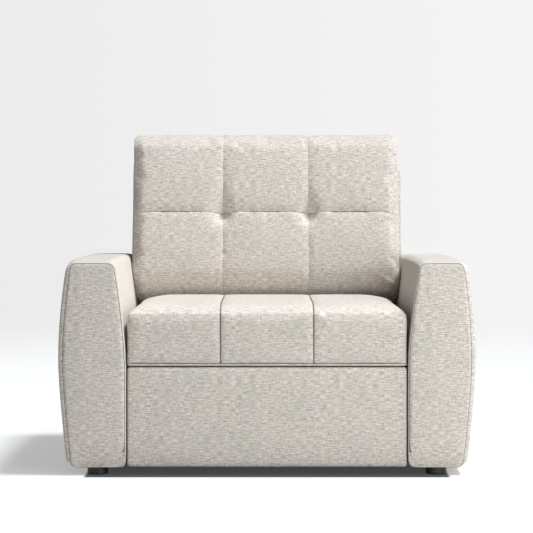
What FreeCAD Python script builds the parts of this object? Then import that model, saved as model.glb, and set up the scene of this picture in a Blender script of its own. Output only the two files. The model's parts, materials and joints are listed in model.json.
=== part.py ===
import FreeCAD, Part
import math
import os

# Convertible chair bed. Millimetres, z up, the front faces -y.
# Depths are measured from the front plane of the arms towards the back.

# Feet
foot_height = 22.0
foot_diameter = 58.0
foot_corner_radius = 3.0
foot_arm_margin = 81.0
foot_front_margin = 45.0
foot_rear_margin = 46.0
foot_bolt_diameter = 8.0
foot_bolt_head_diameter = 16.0
foot_bolt_head_height = 5.0
foot_bolt_recess = 3.0

# Arms: bowed slabs whose inner face flares outwards above the seat deck
arm_inner_x = 393.0
arm_width = 189.4
arm_widest_height = 298.0
arm_height = 570.0
arm_top_inset = 24.4
arm_bottom_inset = 25.0
arm_flare = 32.0
arm_flare_height = 278.0
arm_rear_setback = 14.0
arm_side_wall = 18.0
arm_top_wall = 20.0
arm_front_wall = 20.0
arm_rear_wall = 14.0
arm_corner_radius = 16.0
arm_edge_radius = 5.0
arm_outer_seam_inset = 14.0
arm_seam_inset = 6.0
arm_seam_width = 2.0
arm_seam_depth = 1.5
arm_seam_corner_radius = 6.0
arm_base_board_thickness = 16.0
arm_frame_margin = 47.0
arm_frame_width = 90.0
arm_post_depth = 36.0
arm_top_rail_height = 30.0
arm_bottom_rail_height = 40.0
arm_side_board_thickness = 18.0
arm_side_board_height = 110.0

# Chassis between the arms
rail_thickness = 19.0
rail_bottom_z = 30.0
rail_height = 120.0
rail_front_depth = 62.0
rail_rear_gap = 5.0
rail_bolt_diameter = 8.0
rail_bolt_height = 95.0
rail_bolt_depths = [100.0, 400.0, 730.0]
rail_bolt_head_diameter = 18.0
rail_bolt_head_height = 2.5
front_cross_rail_bottom_z = 24.0
front_cross_rail_height = 32.0
front_cross_rail_depth = 18.0
rear_cross_rail_height = 90.0
rear_cross_rail_depth = 20.0
bumper_diameter = 18.0
bumper_height = 6.0
bumper_x = 300.0
plate_thickness = 4.0
plate_bottom_z = 31.0
plate_height = 44.0
plate_end_margin = 26.0

# Lifting linkage
link_length = 280.0
link_width = 24.0
link_thickness = 5.0
link_gap = 0.5
base_pivot_z = 46.0
front_pivot_depth = 120.0
rear_pivot_depth = 450.0
cross_tube_diameter = 22.0
cross_tube_wall = 2.0
running_gap = 0.05
link_pin_diameter = 10.0
link_pin_head_diameter = 18.0
link_pin_head_height = 3.5
link_pin_head_gap = 4.0
hanger_thickness = 4.0
hanger_width = 36.0

# Bed sections
hinge_one_depth = 50.0
hinge_one_z = 180.0
hinge_two_depth = 621.0
hinge_two_z = 330.0
mattress_gap = 4.0
mattress_thickness = 88.0
mattress_corner_radius = 14.0
slat_thickness = 8.0
slat_width = 50.0
frame_tube_height = 18.0
frame_tube_width = 20.0
frame_tube_wall = 1.5
frame_front_margin = 8.0
head_rear_depth = 785.0
middle_rear_margin = 19.0
head_slat_count = 7
middle_slat_count = 6
hinge_plate_thickness = 4.0
hinge_plate_width = 16.0
hinge_plate_gap = 1.0
hinge_pin_diameter = 8.0
hinge_pin_head_diameter = 14.0
hinge_pin_head_height = 2.5
mattress_side_gap = 1.0

# Support legs of the middle section
leg_diameter = 20.0
leg_wall = 1.5
leg_side_gap = 3.0
leg_pivot_margin = 40.0
leg_pivot_drop = 38.0
leg_end_margin = 12.0
leg_cap_height = 18.0
leg_pin_diameter = 8.0
leg_bracket_width = 36.0
leg_bracket_reach = 12.0

# Seat section
seat_front_depth = 6.0
seat_rear_gap = 25.0
seat_side_play = 1.5
seat_crown_height = 175.0
seat_front_edge_height = 154.0
seat_side_edge_height = 149.0
seat_front_edge_radius = 10.0
seat_crown_depth = 150.0
seat_shoulder_width = 80.0
seat_deck_thickness = 15.0
seat_deck_side_margin = 16.5
seat_deck_front_margin = 34.0
seat_deck_rear_margin = 6.0
seat_bracket_gap = 3.0
seat_bracket_thickness = 4.0
seat_bracket_width = 30.0
seat_bracket_length = 96.0
front_panel_front_depth = 4.0
front_panel_thickness = 24.0
front_panel_bottom_z = 22.0
front_panel_gap = 3.0
front_panel_side_play = 2.0
front_panel_radius = 8.0
front_board_thickness = 12.0
front_board_bottom_z = 24.0
front_board_side_margin = 6.0
corner_bracket_x = 120.0
corner_bracket_width = 40.0
corner_bracket_drop = 80.0
corner_bracket_reach = 80.0
corner_bracket_thickness = 4.0
glide_height = 4.0
glide_length = 60.0
glide_x = 300.0

# Back
back_lean = 10.0
ledge_top_z = 444.0
ledge_thickness = 35.0
ledge_front_depth = 690.0
back_face_gap = 12.0
back_frame_depth = 193.0
back_top_z = 870.0
back_panel_thickness = 18.0
back_front_wall = 14.0
back_rear_wall = 14.0
back_top_wall = 14.0
back_arm_gap = 0.5
back_arm_cover_width = 37.0
back_cover_radius = 10.0
back_panel_bottom_z = 24.0
back_gusset_low_z = 300.0
back_gusset_front_z = 380.0
back_rail_height = 60.0
back_rail_thickness = 22.0
back_mid_rail_z = 600.0
strap_thickness = 2.0
strap_width = 50.0
strap_count = 4
strap_gap = 40.0
strap_first_height = 30.0

# Back cushion
cushion_gap = 0.5
cushion_side_gap = 3.0
cushion_top_z = 972.0
cushion_arm_cover_width = 25.0
cushion_profile = [
    (0.0, 130.0),
    (0.06, 172.0),
    (0.16, 205.0),
    (0.3, 210.0),
    (0.5, 198.0),
    (0.72, 170.0),
    (0.92, 128.0),
    (1.0, 84.0),
]

V = FreeCAD.Vector
os.makedirs("parts", exist_ok=True)

# Widths and depths that follow from the sizes above
arm_widest_x = arm_inner_x + arm_width
arm_frame_inner_x = arm_inner_x + arm_frame_margin
arm_frame_outer_x = arm_frame_inner_x + arm_frame_width
foot_x = arm_inner_x + foot_arm_margin
back_upper_half_width = arm_inner_x + back_arm_cover_width
cushion_upper_half_width = arm_inner_x + cushion_arm_cover_width
middle_rear_depth = hinge_two_depth + middle_rear_margin
leg_pivot_depth = middle_rear_depth - leg_pivot_margin
rail_rear_depth = head_rear_depth + rail_rear_gap
back_face_depth = head_rear_depth + back_face_gap
overall_depth = back_face_depth + back_frame_depth
arm_depth = overall_depth - arm_rear_setback
foot_front_depth = foot_front_margin
foot_rear_depth = arm_depth - foot_rear_margin


# Straight box from side, depth and height limits
def block(x0, x1, d0, d1, z0, z1):
    corner = V(x0, d0 - overall_depth / 2.0, z0)
    return Part.makeBox(x1 - x0, d1 - d0, z1 - z0, corner)


# Round bar that runs sideways
def bar(x0, x1, d, z, diameter):
    start = V(x0, d - overall_depth / 2.0, z)
    return Part.makeCylinder(diameter / 2.0, x1 - x0, start, V(1, 0, 0))


# Flat plate drawn as a side outline, a list of depth and height pairs
def plate(x0, x1, outline):
    points = [V(x0, d - overall_depth / 2.0, z) for d, z in outline]
    face = Part.Face(Part.makePolygon(points + [points[0]]))
    return face.extrude(V(x1 - x0, 0, 0))


# Flat bar with round ends between two pivots
def strip(x0, x1, d0, z0, d1, z1, width):
    length = math.hypot(d1 - d0, z1 - z0)
    along = (d1 - d0) / length
    up = (z1 - z0) / length
    half = width / 2.0
    outline = [
        (d0 - up * half, z0 + along * half),
        (d1 - up * half, z1 + along * half),
        (d1 + up * half, z1 - along * half),
        (d0 + up * half, z0 - along * half),
    ]
    body = plate(x0, x1, outline)
    body = body.fuse([bar(x0, x1, d0, z0, width), bar(x0, x1, d1, z1, width)])
    return body.removeSplitter()


# Rectangular tube along the depth
def tube_along(x0, x1, d0, d1, z0, z1, wall):
    outer = block(x0, x1, d0, d1, z0, z1)
    return outer.cut(block(x0 + wall, x1 - wall, d0 - 1.0, d1 + 1.0, z0 + wall, z1 - wall))


# Rectangular tube across the width
def tube_across(x0, x1, d0, d1, z0, z1, wall):
    outer = block(x0, x1, d0, d1, z0, z1)
    return outer.cut(block(x0 - 1.0, x1 + 1.0, d0 + wall, d1 - wall, z0 + wall, z1 - wall))


def mirrored(shape):
    return shape.mirror(V(0, 0, 0), V(1, 0, 0))


def both(shapes):
    return list(shapes) + [mirrored(s) for s in shapes]


def save(name, shapes):
    solids = []
    for shape in shapes:
        solids.extend(shape.Solids)
    result = solids[0]
    if len(solids) > 1:
        result = Part.makeCompound(solids)
    result.exportStep("parts/" + name + ".step")


def save_pair(name, shape):
    save(name + "_right", [shape])
    save(name + "_left", [mirrored(shape)])


# Edges of a shape that a test accepts
def edges_where(shape, test):
    return [e for e in shape.Edges if test(e)]


def runs_along(edge, axis):
    if len(edge.Vertexes) < 2:
        return False
    span = edge.Vertexes[-1].Point - edge.Vertexes[0].Point
    return span.Length > 1.0 and abs(abs(span.dot(axis)) - span.Length) < 1e-4


# Arm section
arm_bottom_z = foot_height
arm_top_z = arm_bottom_z + arm_height
arm_widest_z = arm_bottom_z + arm_widest_height
arm_flare_z = arm_bottom_z + arm_flare_height


def arm_outer(z):
    if z >= arm_widest_z:
        share = (z - arm_widest_z) / (arm_top_z - arm_widest_z)
        return arm_widest_x - arm_top_inset * share ** 1.85
    share = (arm_widest_z - z) / arm_widest_height
    return arm_widest_x - arm_bottom_inset * share ** 1.4


def arm_inner(z):
    if z <= arm_flare_z:
        return arm_inner_x
    share = (z - arm_flare_z) / (arm_top_z - arm_flare_z)
    return arm_inner_x + arm_flare * share ** 1.5


def curve(points):
    spline = Part.BSplineCurve()
    spline.interpolate(points)
    return spline.toShape()


# Arm section at one depth, drawn in from its silhouette on the inner and the outer side
def arm_face(depth, inner_inset, outer_inset, bottom, top):
    y = depth - overall_depth / 2.0
    low_in = V(arm_inner_x + inner_inset, y, bottom)
    flare_in = V(arm_inner_x + inner_inset, y, arm_flare_z)
    inner_points = [flare_in]
    for i in range(1, 5):
        z = arm_flare_z + (top - arm_flare_z) * i / 4.0
        inner_points.append(V(arm_inner(z) + inner_inset, y, z))
    outer_points = []
    for i in range(7):
        z = top + (bottom - top) * i / 6.0
        outer_points.append(V(arm_outer(max(z, arm_bottom_z)) - outer_inset, y, z))
    edges = [
        Part.makeLine(low_in, flare_in),
        curve(inner_points),
        Part.makeLine(inner_points[-1], outer_points[0]),
        curve(outer_points),
        Part.makeLine(outer_points[-1], low_in),
    ]
    return Part.Face(Part.Wire(edges))


def arm_prism(d0, d1, insets, bottom, top, radius):
    body = arm_face(d0, insets[0], insets[1], bottom, top).extrude(V(0, d1 - d0, 0))
    if radius <= 0:
        return body
    axis = V(0, 1, 0)
    middle_x = arm_inner_x + arm_width / 2.0

    def rounded(edge):
        if not runs_along(edge, axis):
            return False
        point = edge.Vertexes[0].Point
        at_top = abs(point.z - top) < 0.1
        at_low_outer = abs(point.z - bottom) < 0.1 and point.x > middle_x
        return at_top or at_low_outer

    return body.makeFillet(radius, edges_where(body, rounded))


arm = arm_prism(0.0, arm_depth, (0.0, 0.0), arm_bottom_z, arm_top_z, arm_corner_radius)
front_y = -overall_depth / 2.0


def on_front(edge):
    return all(abs(v.Point.y - front_y) < 0.01 for v in edge.Vertexes)


arm = arm.makeFillet(arm_edge_radius, edges_where(arm, on_front))
arm_walls = (arm_side_wall, arm_side_wall)
cavity_top_z = arm_top_z - arm_top_wall
cavity_rear = arm_depth - arm_rear_wall
cavity = arm_prism(arm_front_wall, cavity_rear, arm_walls, arm_bottom_z - 1.0, cavity_top_z, 0)


# Seam line round the front face, near the edge except along the bowed outside
def seam_prism(offset):
    insets = (arm_seam_inset + offset, arm_outer_seam_inset + offset)
    low = arm_bottom_z + arm_seam_inset + offset
    high = arm_top_z - arm_seam_inset - offset
    radius = arm_seam_corner_radius - offset
    return arm_prism(-arm_seam_depth, arm_seam_depth, insets, low, high, radius)


arm_cover = arm.cut(cavity).cut(seam_prism(0.0).cut(seam_prism(arm_seam_width)))

# Base board fills the open underside of the cover
board_top_z = arm_bottom_z + arm_base_board_thickness
board_zone = block(0.0, arm_widest_x, 0.0, arm_depth, arm_bottom_z, board_top_z)
base_board = cavity.common(board_zone)

# Wooden arm frame
side_board_x = arm_inner_x + arm_side_wall
side_board = block(
    side_board_x,
    side_board_x + arm_side_board_thickness,
    arm_front_wall,
    cavity_rear,
    board_top_z,
    board_top_z + arm_side_board_height,
)
bottom_rail = block(
    arm_frame_inner_x,
    arm_frame_outer_x,
    arm_front_wall,
    cavity_rear,
    board_top_z,
    board_top_z + arm_bottom_rail_height,
)
bottom_rail_filler = block(
    side_board_x + arm_side_board_thickness,
    arm_frame_inner_x,
    arm_front_wall,
    arm_front_wall + arm_post_depth,
    board_top_z,
    board_top_z + arm_bottom_rail_height,
)
post_bottom = board_top_z + arm_bottom_rail_height
post_top = cavity_top_z - arm_top_rail_height
front_post = block(
    arm_frame_inner_x,
    arm_frame_outer_x,
    arm_front_wall,
    arm_front_wall + arm_post_depth,
    post_bottom,
    post_top,
)
rear_post = block(
    arm_frame_inner_x,
    arm_frame_outer_x,
    cavity_rear - arm_post_depth,
    cavity_rear,
    post_bottom,
    post_top,
)
top_rail = block(
    arm_frame_inner_x,
    arm_frame_outer_x,
    arm_front_wall,
    cavity_rear,
    post_top,
    cavity_top_z,
)

# Feet and their bolts
foot_spots = [(foot_x, foot_front_depth), (foot_x, foot_rear_depth)]
foot_radius = foot_diameter / 2.0
bolt_top_z = board_top_z
feet = []
foot_bolts = []
foot_bolt_holes = []
for x, d in foot_spots:
    center = V(x, d - overall_depth / 2.0, 0.0)
    foot = Part.makeCylinder(foot_radius, foot_height, center)
    rim = edges_where(foot, lambda e: abs(e.BoundBox.ZMax) < 0.01)
    foot = foot.makeFillet(foot_corner_radius, rim)
    recess_top = foot_bolt_recess + foot_bolt_head_height
    recess = Part.makeCylinder(foot_bolt_head_diameter / 2.0, recess_top, center)
    shank = Part.makeCylinder(foot_bolt_diameter / 2.0, bolt_top_z, center)
    head_base = center + V(0, 0, foot_bolt_recess)
    head = Part.makeCylinder(foot_bolt_head_diameter / 2.0, foot_bolt_head_height, head_base)
    low_cut = Part.makeCylinder(foot_bolt_head_diameter, foot_bolt_recess, center)
    feet.append(foot.cut(recess).cut(shank))
    foot_bolts.append(shank.fuse(head).removeSplitter().cut(low_cut))
    foot_bolt_holes.append(shank)
base_board = base_board.cut(foot_bolt_holes)

# Chassis rails
rail_inner_x = arm_inner_x - rail_thickness
rail_top_z = rail_bottom_z + rail_height
side_rail = block(
    rail_inner_x, arm_inner_x, rail_front_depth, rail_rear_depth, rail_bottom_z, rail_top_z
)
rail_bolts = []
rail_bolt_end_x = side_board_x + arm_side_board_thickness
for d in rail_bolt_depths:
    shank = bar(rail_inner_x, rail_bolt_end_x, d, rail_bolt_height, rail_bolt_diameter)
    head = bar(
        rail_inner_x - rail_bolt_head_height,
        rail_inner_x,
        d,
        rail_bolt_height,
        rail_bolt_head_diameter,
    )
    side_rail = side_rail.cut(shank)
    arm_cover = arm_cover.cut(shank)
    side_board = side_board.cut(shank)
    rail_bolts.append(shank.fuse(head).removeSplitter())
front_cross_top = front_cross_rail_bottom_z + front_cross_rail_height
front_cross_rear = rail_front_depth + front_cross_rail_depth
front_cross_rail = block(
    -rail_inner_x,
    rail_inner_x,
    rail_front_depth,
    front_cross_rear,
    front_cross_rail_bottom_z,
    front_cross_top,
)
bumper_center = (rail_front_depth + front_cross_rear) / 2.0 - overall_depth / 2.0
bumper = Part.makeCylinder(
    bumper_diameter / 2.0, bumper_height, V(bumper_x, bumper_center, front_cross_top)
)

# Mechanism plates on the inner faces of the side rails
plate_inner_x = rail_inner_x - plate_thickness
base_pivots = [front_pivot_depth, rear_pivot_depth]
mechanism_plate = block(
    plate_inner_x,
    rail_inner_x,
    front_pivot_depth - plate_end_margin,
    rear_pivot_depth + plate_end_margin,
    plate_bottom_z,
    plate_bottom_z + plate_height,
)
bushing_diameter = cross_tube_diameter + 2.0 * running_gap
for d in base_pivots:
    hole = bar(plate_inner_x - 1.0, rail_inner_x + 1.0, d, base_pivot_z, bushing_diameter)
    mechanism_plate = mechanism_plate.cut(hole)

# Lifting links and their cross tubes, drawn lying back
link_outer_x = plate_inner_x - link_pin_head_gap - link_pin_head_height - link_gap
link_inner_x = link_outer_x - link_thickness
pin_hole_diameter = link_pin_diameter + 2.0 * running_gap


def lifting_link(pivot_depth):
    end_depth = pivot_depth + link_length
    body = strip(
        link_inner_x,
        link_outer_x,
        pivot_depth,
        base_pivot_z,
        end_depth,
        base_pivot_z,
        link_width,
    )
    body = body.cut(
        bar(link_inner_x - 1.0, link_outer_x + 1.0, pivot_depth, base_pivot_z, cross_tube_diameter)
    )
    return body.cut(
        bar(link_inner_x - 1.0, link_outer_x + 1.0, end_depth, base_pivot_z, pin_hole_diameter)
    )


def cross_tube(pivot_depth):
    reach = rail_inner_x - running_gap
    bore = cross_tube_diameter - 2.0 * cross_tube_wall
    outer = bar(-reach, reach, pivot_depth, base_pivot_z, cross_tube_diameter)
    return outer.cut(bar(-reach - 1.0, reach + 1.0, pivot_depth, base_pivot_z, bore))


# Bed section frames share one tube size and mirror about the first hinge
hanger_outer_x = link_inner_x - link_gap
head_frame_x = hanger_outer_x - hanger_thickness
head_hinge_outer_x = head_frame_x - hinge_plate_thickness
head_hinge_inner_x = head_hinge_outer_x - hinge_plate_thickness
middle_frame_x = head_hinge_outer_x
middle_hinge_outer_x = head_hinge_inner_x - hinge_plate_gap
middle_hinge_inner_x = middle_hinge_outer_x - hinge_plate_thickness
mattress_x = middle_hinge_inner_x - mattress_side_gap
head_mattress_top = hinge_one_z - mattress_gap / 2.0
head_mattress_bottom = head_mattress_top - mattress_thickness
head_slat_bottom = head_mattress_bottom - slat_thickness
head_frame_bottom = head_slat_bottom - frame_tube_height
middle_mattress_bottom = hinge_one_z + mattress_gap / 2.0
middle_mattress_top = middle_mattress_bottom + mattress_thickness
middle_slat_top = middle_mattress_top + slat_thickness
middle_frame_top = middle_slat_top + frame_tube_height
leg_pivot_z = middle_slat_top - leg_pivot_drop
frame_front_depth = hinge_one_depth + frame_front_margin
mattress_front_depth = hinge_one_depth + mattress_gap / 2.0


def section_side_tube(half_width, rear_depth, bottom):
    return tube_along(
        half_width - frame_tube_width,
        half_width,
        frame_front_depth,
        rear_depth,
        bottom,
        bottom + frame_tube_height,
        frame_tube_wall,
    )


def section_cross_tubes(half_width, rear_depth, bottom, count):
    reach = half_width - frame_tube_width
    run = rear_depth - frame_front_depth - frame_tube_width
    tubes = []
    for i in range(count):
        start = frame_front_depth + run * i / (count - 1)
        tubes.append(
            tube_across(
                -reach,
                reach,
                start,
                start + frame_tube_width,
                bottom,
                bottom + frame_tube_height,
                frame_tube_wall,
            )
        )
    return tubes


def section_slats(half_width, rear_depth, bottom, count):
    run = rear_depth - frame_front_depth - slat_width
    slats = []
    for i in range(count):
        start = frame_front_depth + run * i / (count - 1)
        slats.append(
            block(
                -half_width,
                half_width,
                start,
                start + slat_width,
                bottom,
                bottom + slat_thickness,
            )
        )
    return slats


def mattress(front_depth, rear_depth, bottom):
    body = block(-mattress_x, mattress_x, front_depth, rear_depth, bottom, bottom + mattress_thickness)
    corners = edges_where(body, lambda e: runs_along(e, V(0, 0, 1)))
    return body.makeFillet(mattress_corner_radius, corners)


head_side_tube = section_side_tube(head_frame_x, head_rear_depth, head_frame_bottom)
head_cross_tubes = section_cross_tubes(head_frame_x, head_rear_depth, head_frame_bottom, 4)
slat_reach = middle_hinge_inner_x - mattress_side_gap
head_slats = section_slats(slat_reach, head_rear_depth, head_slat_bottom, head_slat_count)
head_mattress = mattress(mattress_front_depth, head_rear_depth, head_mattress_bottom)
middle_frame_bottom = middle_slat_top
middle_side_tube = section_side_tube(middle_frame_x, middle_rear_depth, middle_frame_bottom)
middle_cross_tubes = section_cross_tubes(
    middle_frame_x, middle_rear_depth, middle_frame_bottom, 3
)
middle_slats = section_slats(
    slat_reach, middle_rear_depth, middle_mattress_top, middle_slat_count
)
middle_mattress = mattress(mattress_front_depth, middle_rear_depth, middle_mattress_bottom)

# Hangers that carry the head section on the links, with their pins
hangers = []
link_pins = []
for pivot_depth in base_pivots:
    d = pivot_depth + link_length
    half = hanger_width / 2.0
    head_frame_top = head_frame_bottom + frame_tube_height
    outline = [
        (d - half, head_frame_top),
        (d - half, base_pivot_z),
        (d + half, base_pivot_z),
        (d + half, head_frame_top),
    ]
    hanger = plate(head_frame_x, hanger_outer_x, outline)
    round_end = bar(head_frame_x, hanger_outer_x, d, base_pivot_z, link_width)
    hanger = hanger.fuse(round_end).removeSplitter()
    pin_end = link_outer_x + link_gap / 2.0
    pin = bar(head_frame_x, pin_end, d, base_pivot_z, link_pin_diameter)
    pin_head = bar(
        pin_end, pin_end + link_pin_head_height, d, base_pivot_z, link_pin_head_diameter
    )
    hangers.append(hanger.cut(pin))
    link_pins.append(pin.fuse(pin_head).removeSplitter())

# Folding hinge plates between the sections
plate_half = hinge_plate_width / 2.0
pin_bore = hinge_pin_diameter + 2.0 * running_gap


def hinge_plate(x0, x1, outline, depth, height, bore):
    body = plate(x0, x1, outline)
    body = body.fuse(bar(x0, x1, depth, height, hinge_plate_width)).removeSplitter()
    return body.cut(bar(x0 - 1.0, x1 + 1.0, depth, height, bore))


one_low = hinge_one_depth - plate_half
one_high = hinge_one_depth + plate_half
head_hinge_plate = hinge_plate(
    head_hinge_inner_x,
    head_hinge_outer_x,
    [
        (one_low, head_frame_bottom),
        (one_high, head_frame_bottom),
        (one_high, hinge_one_z),
        (one_low, hinge_one_z),
    ],
    hinge_one_depth,
    hinge_one_z,
    hinge_pin_diameter,
)
middle_front_hinge_plate = hinge_plate(
    middle_hinge_inner_x,
    middle_hinge_outer_x,
    [
        (one_low, hinge_one_z),
        (one_high, hinge_one_z),
        (one_high, middle_frame_top),
        (one_low, middle_frame_top),
    ],
    hinge_one_depth,
    hinge_one_z,
    pin_bore,
)
two_low = hinge_two_depth - plate_half
two_high = hinge_two_depth + plate_half
middle_rear_hinge_plate = hinge_plate(
    middle_hinge_inner_x,
    middle_hinge_outer_x,
    [
        (two_low, middle_frame_top),
        (two_high, middle_frame_top),
        (two_high, hinge_two_z),
        (two_low, hinge_two_z),
    ],
    hinge_two_depth,
    hinge_two_z,
    hinge_pin_diameter,
)


def hinge_pin(depth, height):
    shank = bar(middle_hinge_inner_x, head_hinge_outer_x, depth, height, hinge_pin_diameter)
    head = bar(
        head_hinge_outer_x,
        head_hinge_outer_x + hinge_pin_head_height,
        depth,
        height,
        hinge_pin_head_diameter,
    )
    return shank.fuse(head).removeSplitter()


head_hinge_pin = hinge_pin(hinge_one_depth, hinge_one_z)
seat_hinge_pin = hinge_pin(hinge_two_depth, hinge_two_z)

# Support legs fold along the sides of the middle section
leg_inner_x = middle_frame_x + leg_side_gap
leg_center_x = leg_inner_x + leg_diameter / 2.0
leg_outer_x = leg_inner_x + leg_diameter
leg_length = 2.0 * hinge_one_z + link_length - leg_pivot_z
leg_foot_depth = leg_pivot_depth - leg_length
leg_bracket_half = leg_bracket_width / 2.0
leg_bracket = plate(
    middle_frame_x - hinge_plate_thickness,
    middle_frame_x,
    [
        (leg_pivot_depth - leg_bracket_half, middle_frame_bottom),
        (leg_pivot_depth - leg_bracket_reach, leg_pivot_z - leg_bracket_reach),
        (leg_pivot_depth + leg_bracket_reach, leg_pivot_z - leg_bracket_reach),
        (leg_pivot_depth + leg_bracket_half, middle_frame_bottom),
    ],
)


def bar_along(x, d0, d1, z, diameter):
    start = V(x, d0 - overall_depth / 2.0, z)
    return Part.makeCylinder(diameter / 2.0, d1 - d0, start, V(0, 1, 0))


leg_top_depth = leg_pivot_depth + leg_end_margin
leg_bore = leg_diameter - 2.0 * leg_wall
leg_cap_inner_depth = leg_foot_depth + leg_cap_height
support_leg = bar_along(leg_center_x, leg_cap_inner_depth, leg_top_depth, leg_pivot_z, leg_diameter)
support_leg = support_leg.cut(
    bar_along(leg_center_x, leg_foot_depth - 1.0, leg_top_depth + 1.0, leg_pivot_z, leg_bore)
)
leg_pin_bore = leg_pin_diameter + 2.0 * running_gap
support_leg = support_leg.cut(
    bar(leg_inner_x - 1.0, leg_outer_x + 1.0, leg_pivot_depth, leg_pivot_z, leg_pin_bore)
)
leg_cap = bar_along(leg_center_x, leg_foot_depth, leg_cap_inner_depth, leg_pivot_z, leg_diameter)
leg_pin = bar(
    middle_frame_x - hinge_plate_thickness,
    leg_outer_x + link_gap,
    leg_pivot_depth,
    leg_pivot_z,
    leg_pin_diameter,
)
leg_pin = leg_pin.fuse(
    bar(
        leg_outer_x + link_gap,
        leg_outer_x + link_gap + hinge_pin_head_height,
        leg_pivot_depth,
        leg_pivot_z,
        hinge_pin_head_diameter,
    )
).removeSplitter()
leg_bracket = leg_bracket.cut(leg_pin)

# Seat section
seat_x = arm_inner_x - seat_side_play
seat_rear_depth = hinge_two_depth - seat_rear_gap
bracket_bottom_z = middle_frame_top + seat_bracket_gap
seat_bottom_z = bracket_bottom_z + seat_bracket_thickness
seat_crown_z = seat_bottom_z + seat_crown_height
seat_front_y = seat_front_depth - overall_depth / 2.0
seat_rear_y = seat_rear_depth - overall_depth / 2.0


# Side view of the seat: a tight front edge, then a top that rises to the crown
def seat_side_view():
    x = -seat_x
    edge_z = seat_bottom_z + seat_front_edge_height
    low_z = edge_z - seat_front_edge_radius
    half = seat_front_edge_radius * math.sqrt(0.5)
    start = V(x, seat_front_y, low_z)
    middle = V(x, seat_front_y + seat_front_edge_radius - half, low_z + half)
    end = V(x, seat_front_y + seat_front_edge_radius, edge_z)
    rise = []
    for i in range(7):
        turn = math.pi / 2.0 * i / 6.0
        y = end.y + seat_crown_depth * (1.0 - math.cos(turn))
        rise.append(V(x, y, edge_z + (seat_crown_z - edge_z) * math.sin(turn)))
    rear_top = V(x, seat_rear_y, seat_crown_z)
    rear_low = V(x, seat_rear_y, seat_bottom_z)
    front_low = V(x, seat_front_y, seat_bottom_z)
    edges = [
        Part.makeLine(front_low, start),
        Part.Arc(start, middle, end).toShape(),
        curve(rise),
        Part.makeLine(rise[-1], rear_top),
        Part.makeLine(rear_top, rear_low),
        Part.makeLine(rear_low, front_low),
    ]
    return Part.Face(Part.Wire(edges)).extrude(V(2.0 * seat_x, 0, 0))


# Front view of the seat: the top falls over wide shoulders to the sides
def seat_front_view():
    side_z = seat_bottom_z + seat_side_edge_height
    right = []
    for i in range(7):
        turn = math.pi / 2.0 * i / 6.0
        x = seat_x - seat_shoulder_width * (1.0 - math.cos(turn))
        right.append(V(x, seat_front_y, side_z + (seat_crown_z - side_z) * math.sin(turn)))
    left = [V(-p.x, p.y, p.z) for p in reversed(right)]
    low_right = V(seat_x, seat_front_y, seat_bottom_z)
    low_left = V(-seat_x, seat_front_y, seat_bottom_z)
    edges = [
        Part.makeLine(low_right, right[0]),
        curve(right),
        Part.makeLine(right[-1], left[0]),
        curve(left),
        Part.makeLine(left[-1], low_left),
        Part.makeLine(low_left, low_right),
    ]
    return Part.Face(Part.Wire(edges)).extrude(V(0, seat_rear_y - seat_front_y, 0))


seat_cushion = seat_side_view().common(seat_front_view())
seat_deck_x = seat_x - seat_deck_side_margin
seat_deck_front = seat_front_depth + seat_deck_front_margin
seat_deck_rear = seat_rear_depth - seat_deck_rear_margin
seat_deck_top_z = seat_bottom_z + seat_deck_thickness
seat_deck = block(
    -seat_deck_x, seat_deck_x, seat_deck_front, seat_deck_rear, seat_bottom_z, seat_deck_top_z
)
seat_cushion = seat_cushion.cut(seat_deck)

# Brackets from the deck to the rear hinge of the seat
bracket_flange = block(
    head_hinge_inner_x,
    head_hinge_inner_x + seat_bracket_width,
    seat_rear_depth - seat_bracket_length,
    seat_rear_depth + seat_bracket_thickness,
    bracket_bottom_z,
    seat_bottom_z,
)
seat_hinge_plate = hinge_plate(
    head_hinge_inner_x,
    head_hinge_outer_x,
    [
        (seat_rear_depth + 1.0, bracket_bottom_z),
        (two_high, bracket_bottom_z),
        (two_high, hinge_two_z),
        (two_low, hinge_two_z),
        (seat_rear_depth + 1.0, seat_bottom_z + 4.0),
    ],
    hinge_two_depth,
    hinge_two_z,
    pin_bore,
)
seat_hinge_bracket = bracket_flange.fuse(seat_hinge_plate).removeSplitter()

# Front board, its brackets, the padded front panel and the floor glides
front_board_front = front_panel_front_depth + front_panel_thickness
front_board_rear = front_board_front + front_board_thickness
front_panel_top_z = seat_bottom_z - front_panel_gap
front_panel_x = arm_inner_x - front_panel_side_play
front_board_x = front_panel_x - front_board_side_margin
front_panel = block(
    -front_panel_x,
    front_panel_x,
    front_panel_front_depth,
    front_board_front,
    front_panel_bottom_z,
    front_panel_top_z,
)
panel_front_y = front_panel_front_depth - overall_depth / 2.0


def on_panel_front(edge):
    return all(abs(v.Point.y - panel_front_y) < 0.01 for v in edge.Vertexes)


front_panel = front_panel.makeFillet(front_panel_radius, edges_where(front_panel, on_panel_front))
front_board = block(
    -front_board_x,
    front_board_x,
    front_board_front,
    front_board_rear,
    front_board_bottom_z,
    front_panel_top_z,
)
bracket_x0 = corner_bracket_x - corner_bracket_width / 2.0
bracket_x1 = corner_bracket_x + corner_bracket_width / 2.0
corner_bracket = block(
    bracket_x0,
    bracket_x1,
    front_board_rear,
    front_board_rear + corner_bracket_thickness,
    front_panel_top_z - corner_bracket_drop,
    seat_bottom_z,
).fuse(
    block(
        bracket_x0,
        bracket_x1,
        front_board_rear,
        front_board_rear + corner_bracket_reach,
        seat_bottom_z - corner_bracket_thickness,
        seat_bottom_z,
    )
).removeSplitter()
glide_bottom_z = front_board_bottom_z - glide_height
floor_glide = block(
    glide_x - glide_length / 2.0,
    glide_x + glide_length / 2.0,
    front_board_front,
    front_board_rear,
    glide_bottom_z,
    front_board_bottom_z,
)

# Back frame, drawn in the leaning frame of the back face
lean = math.radians(back_lean)


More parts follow.
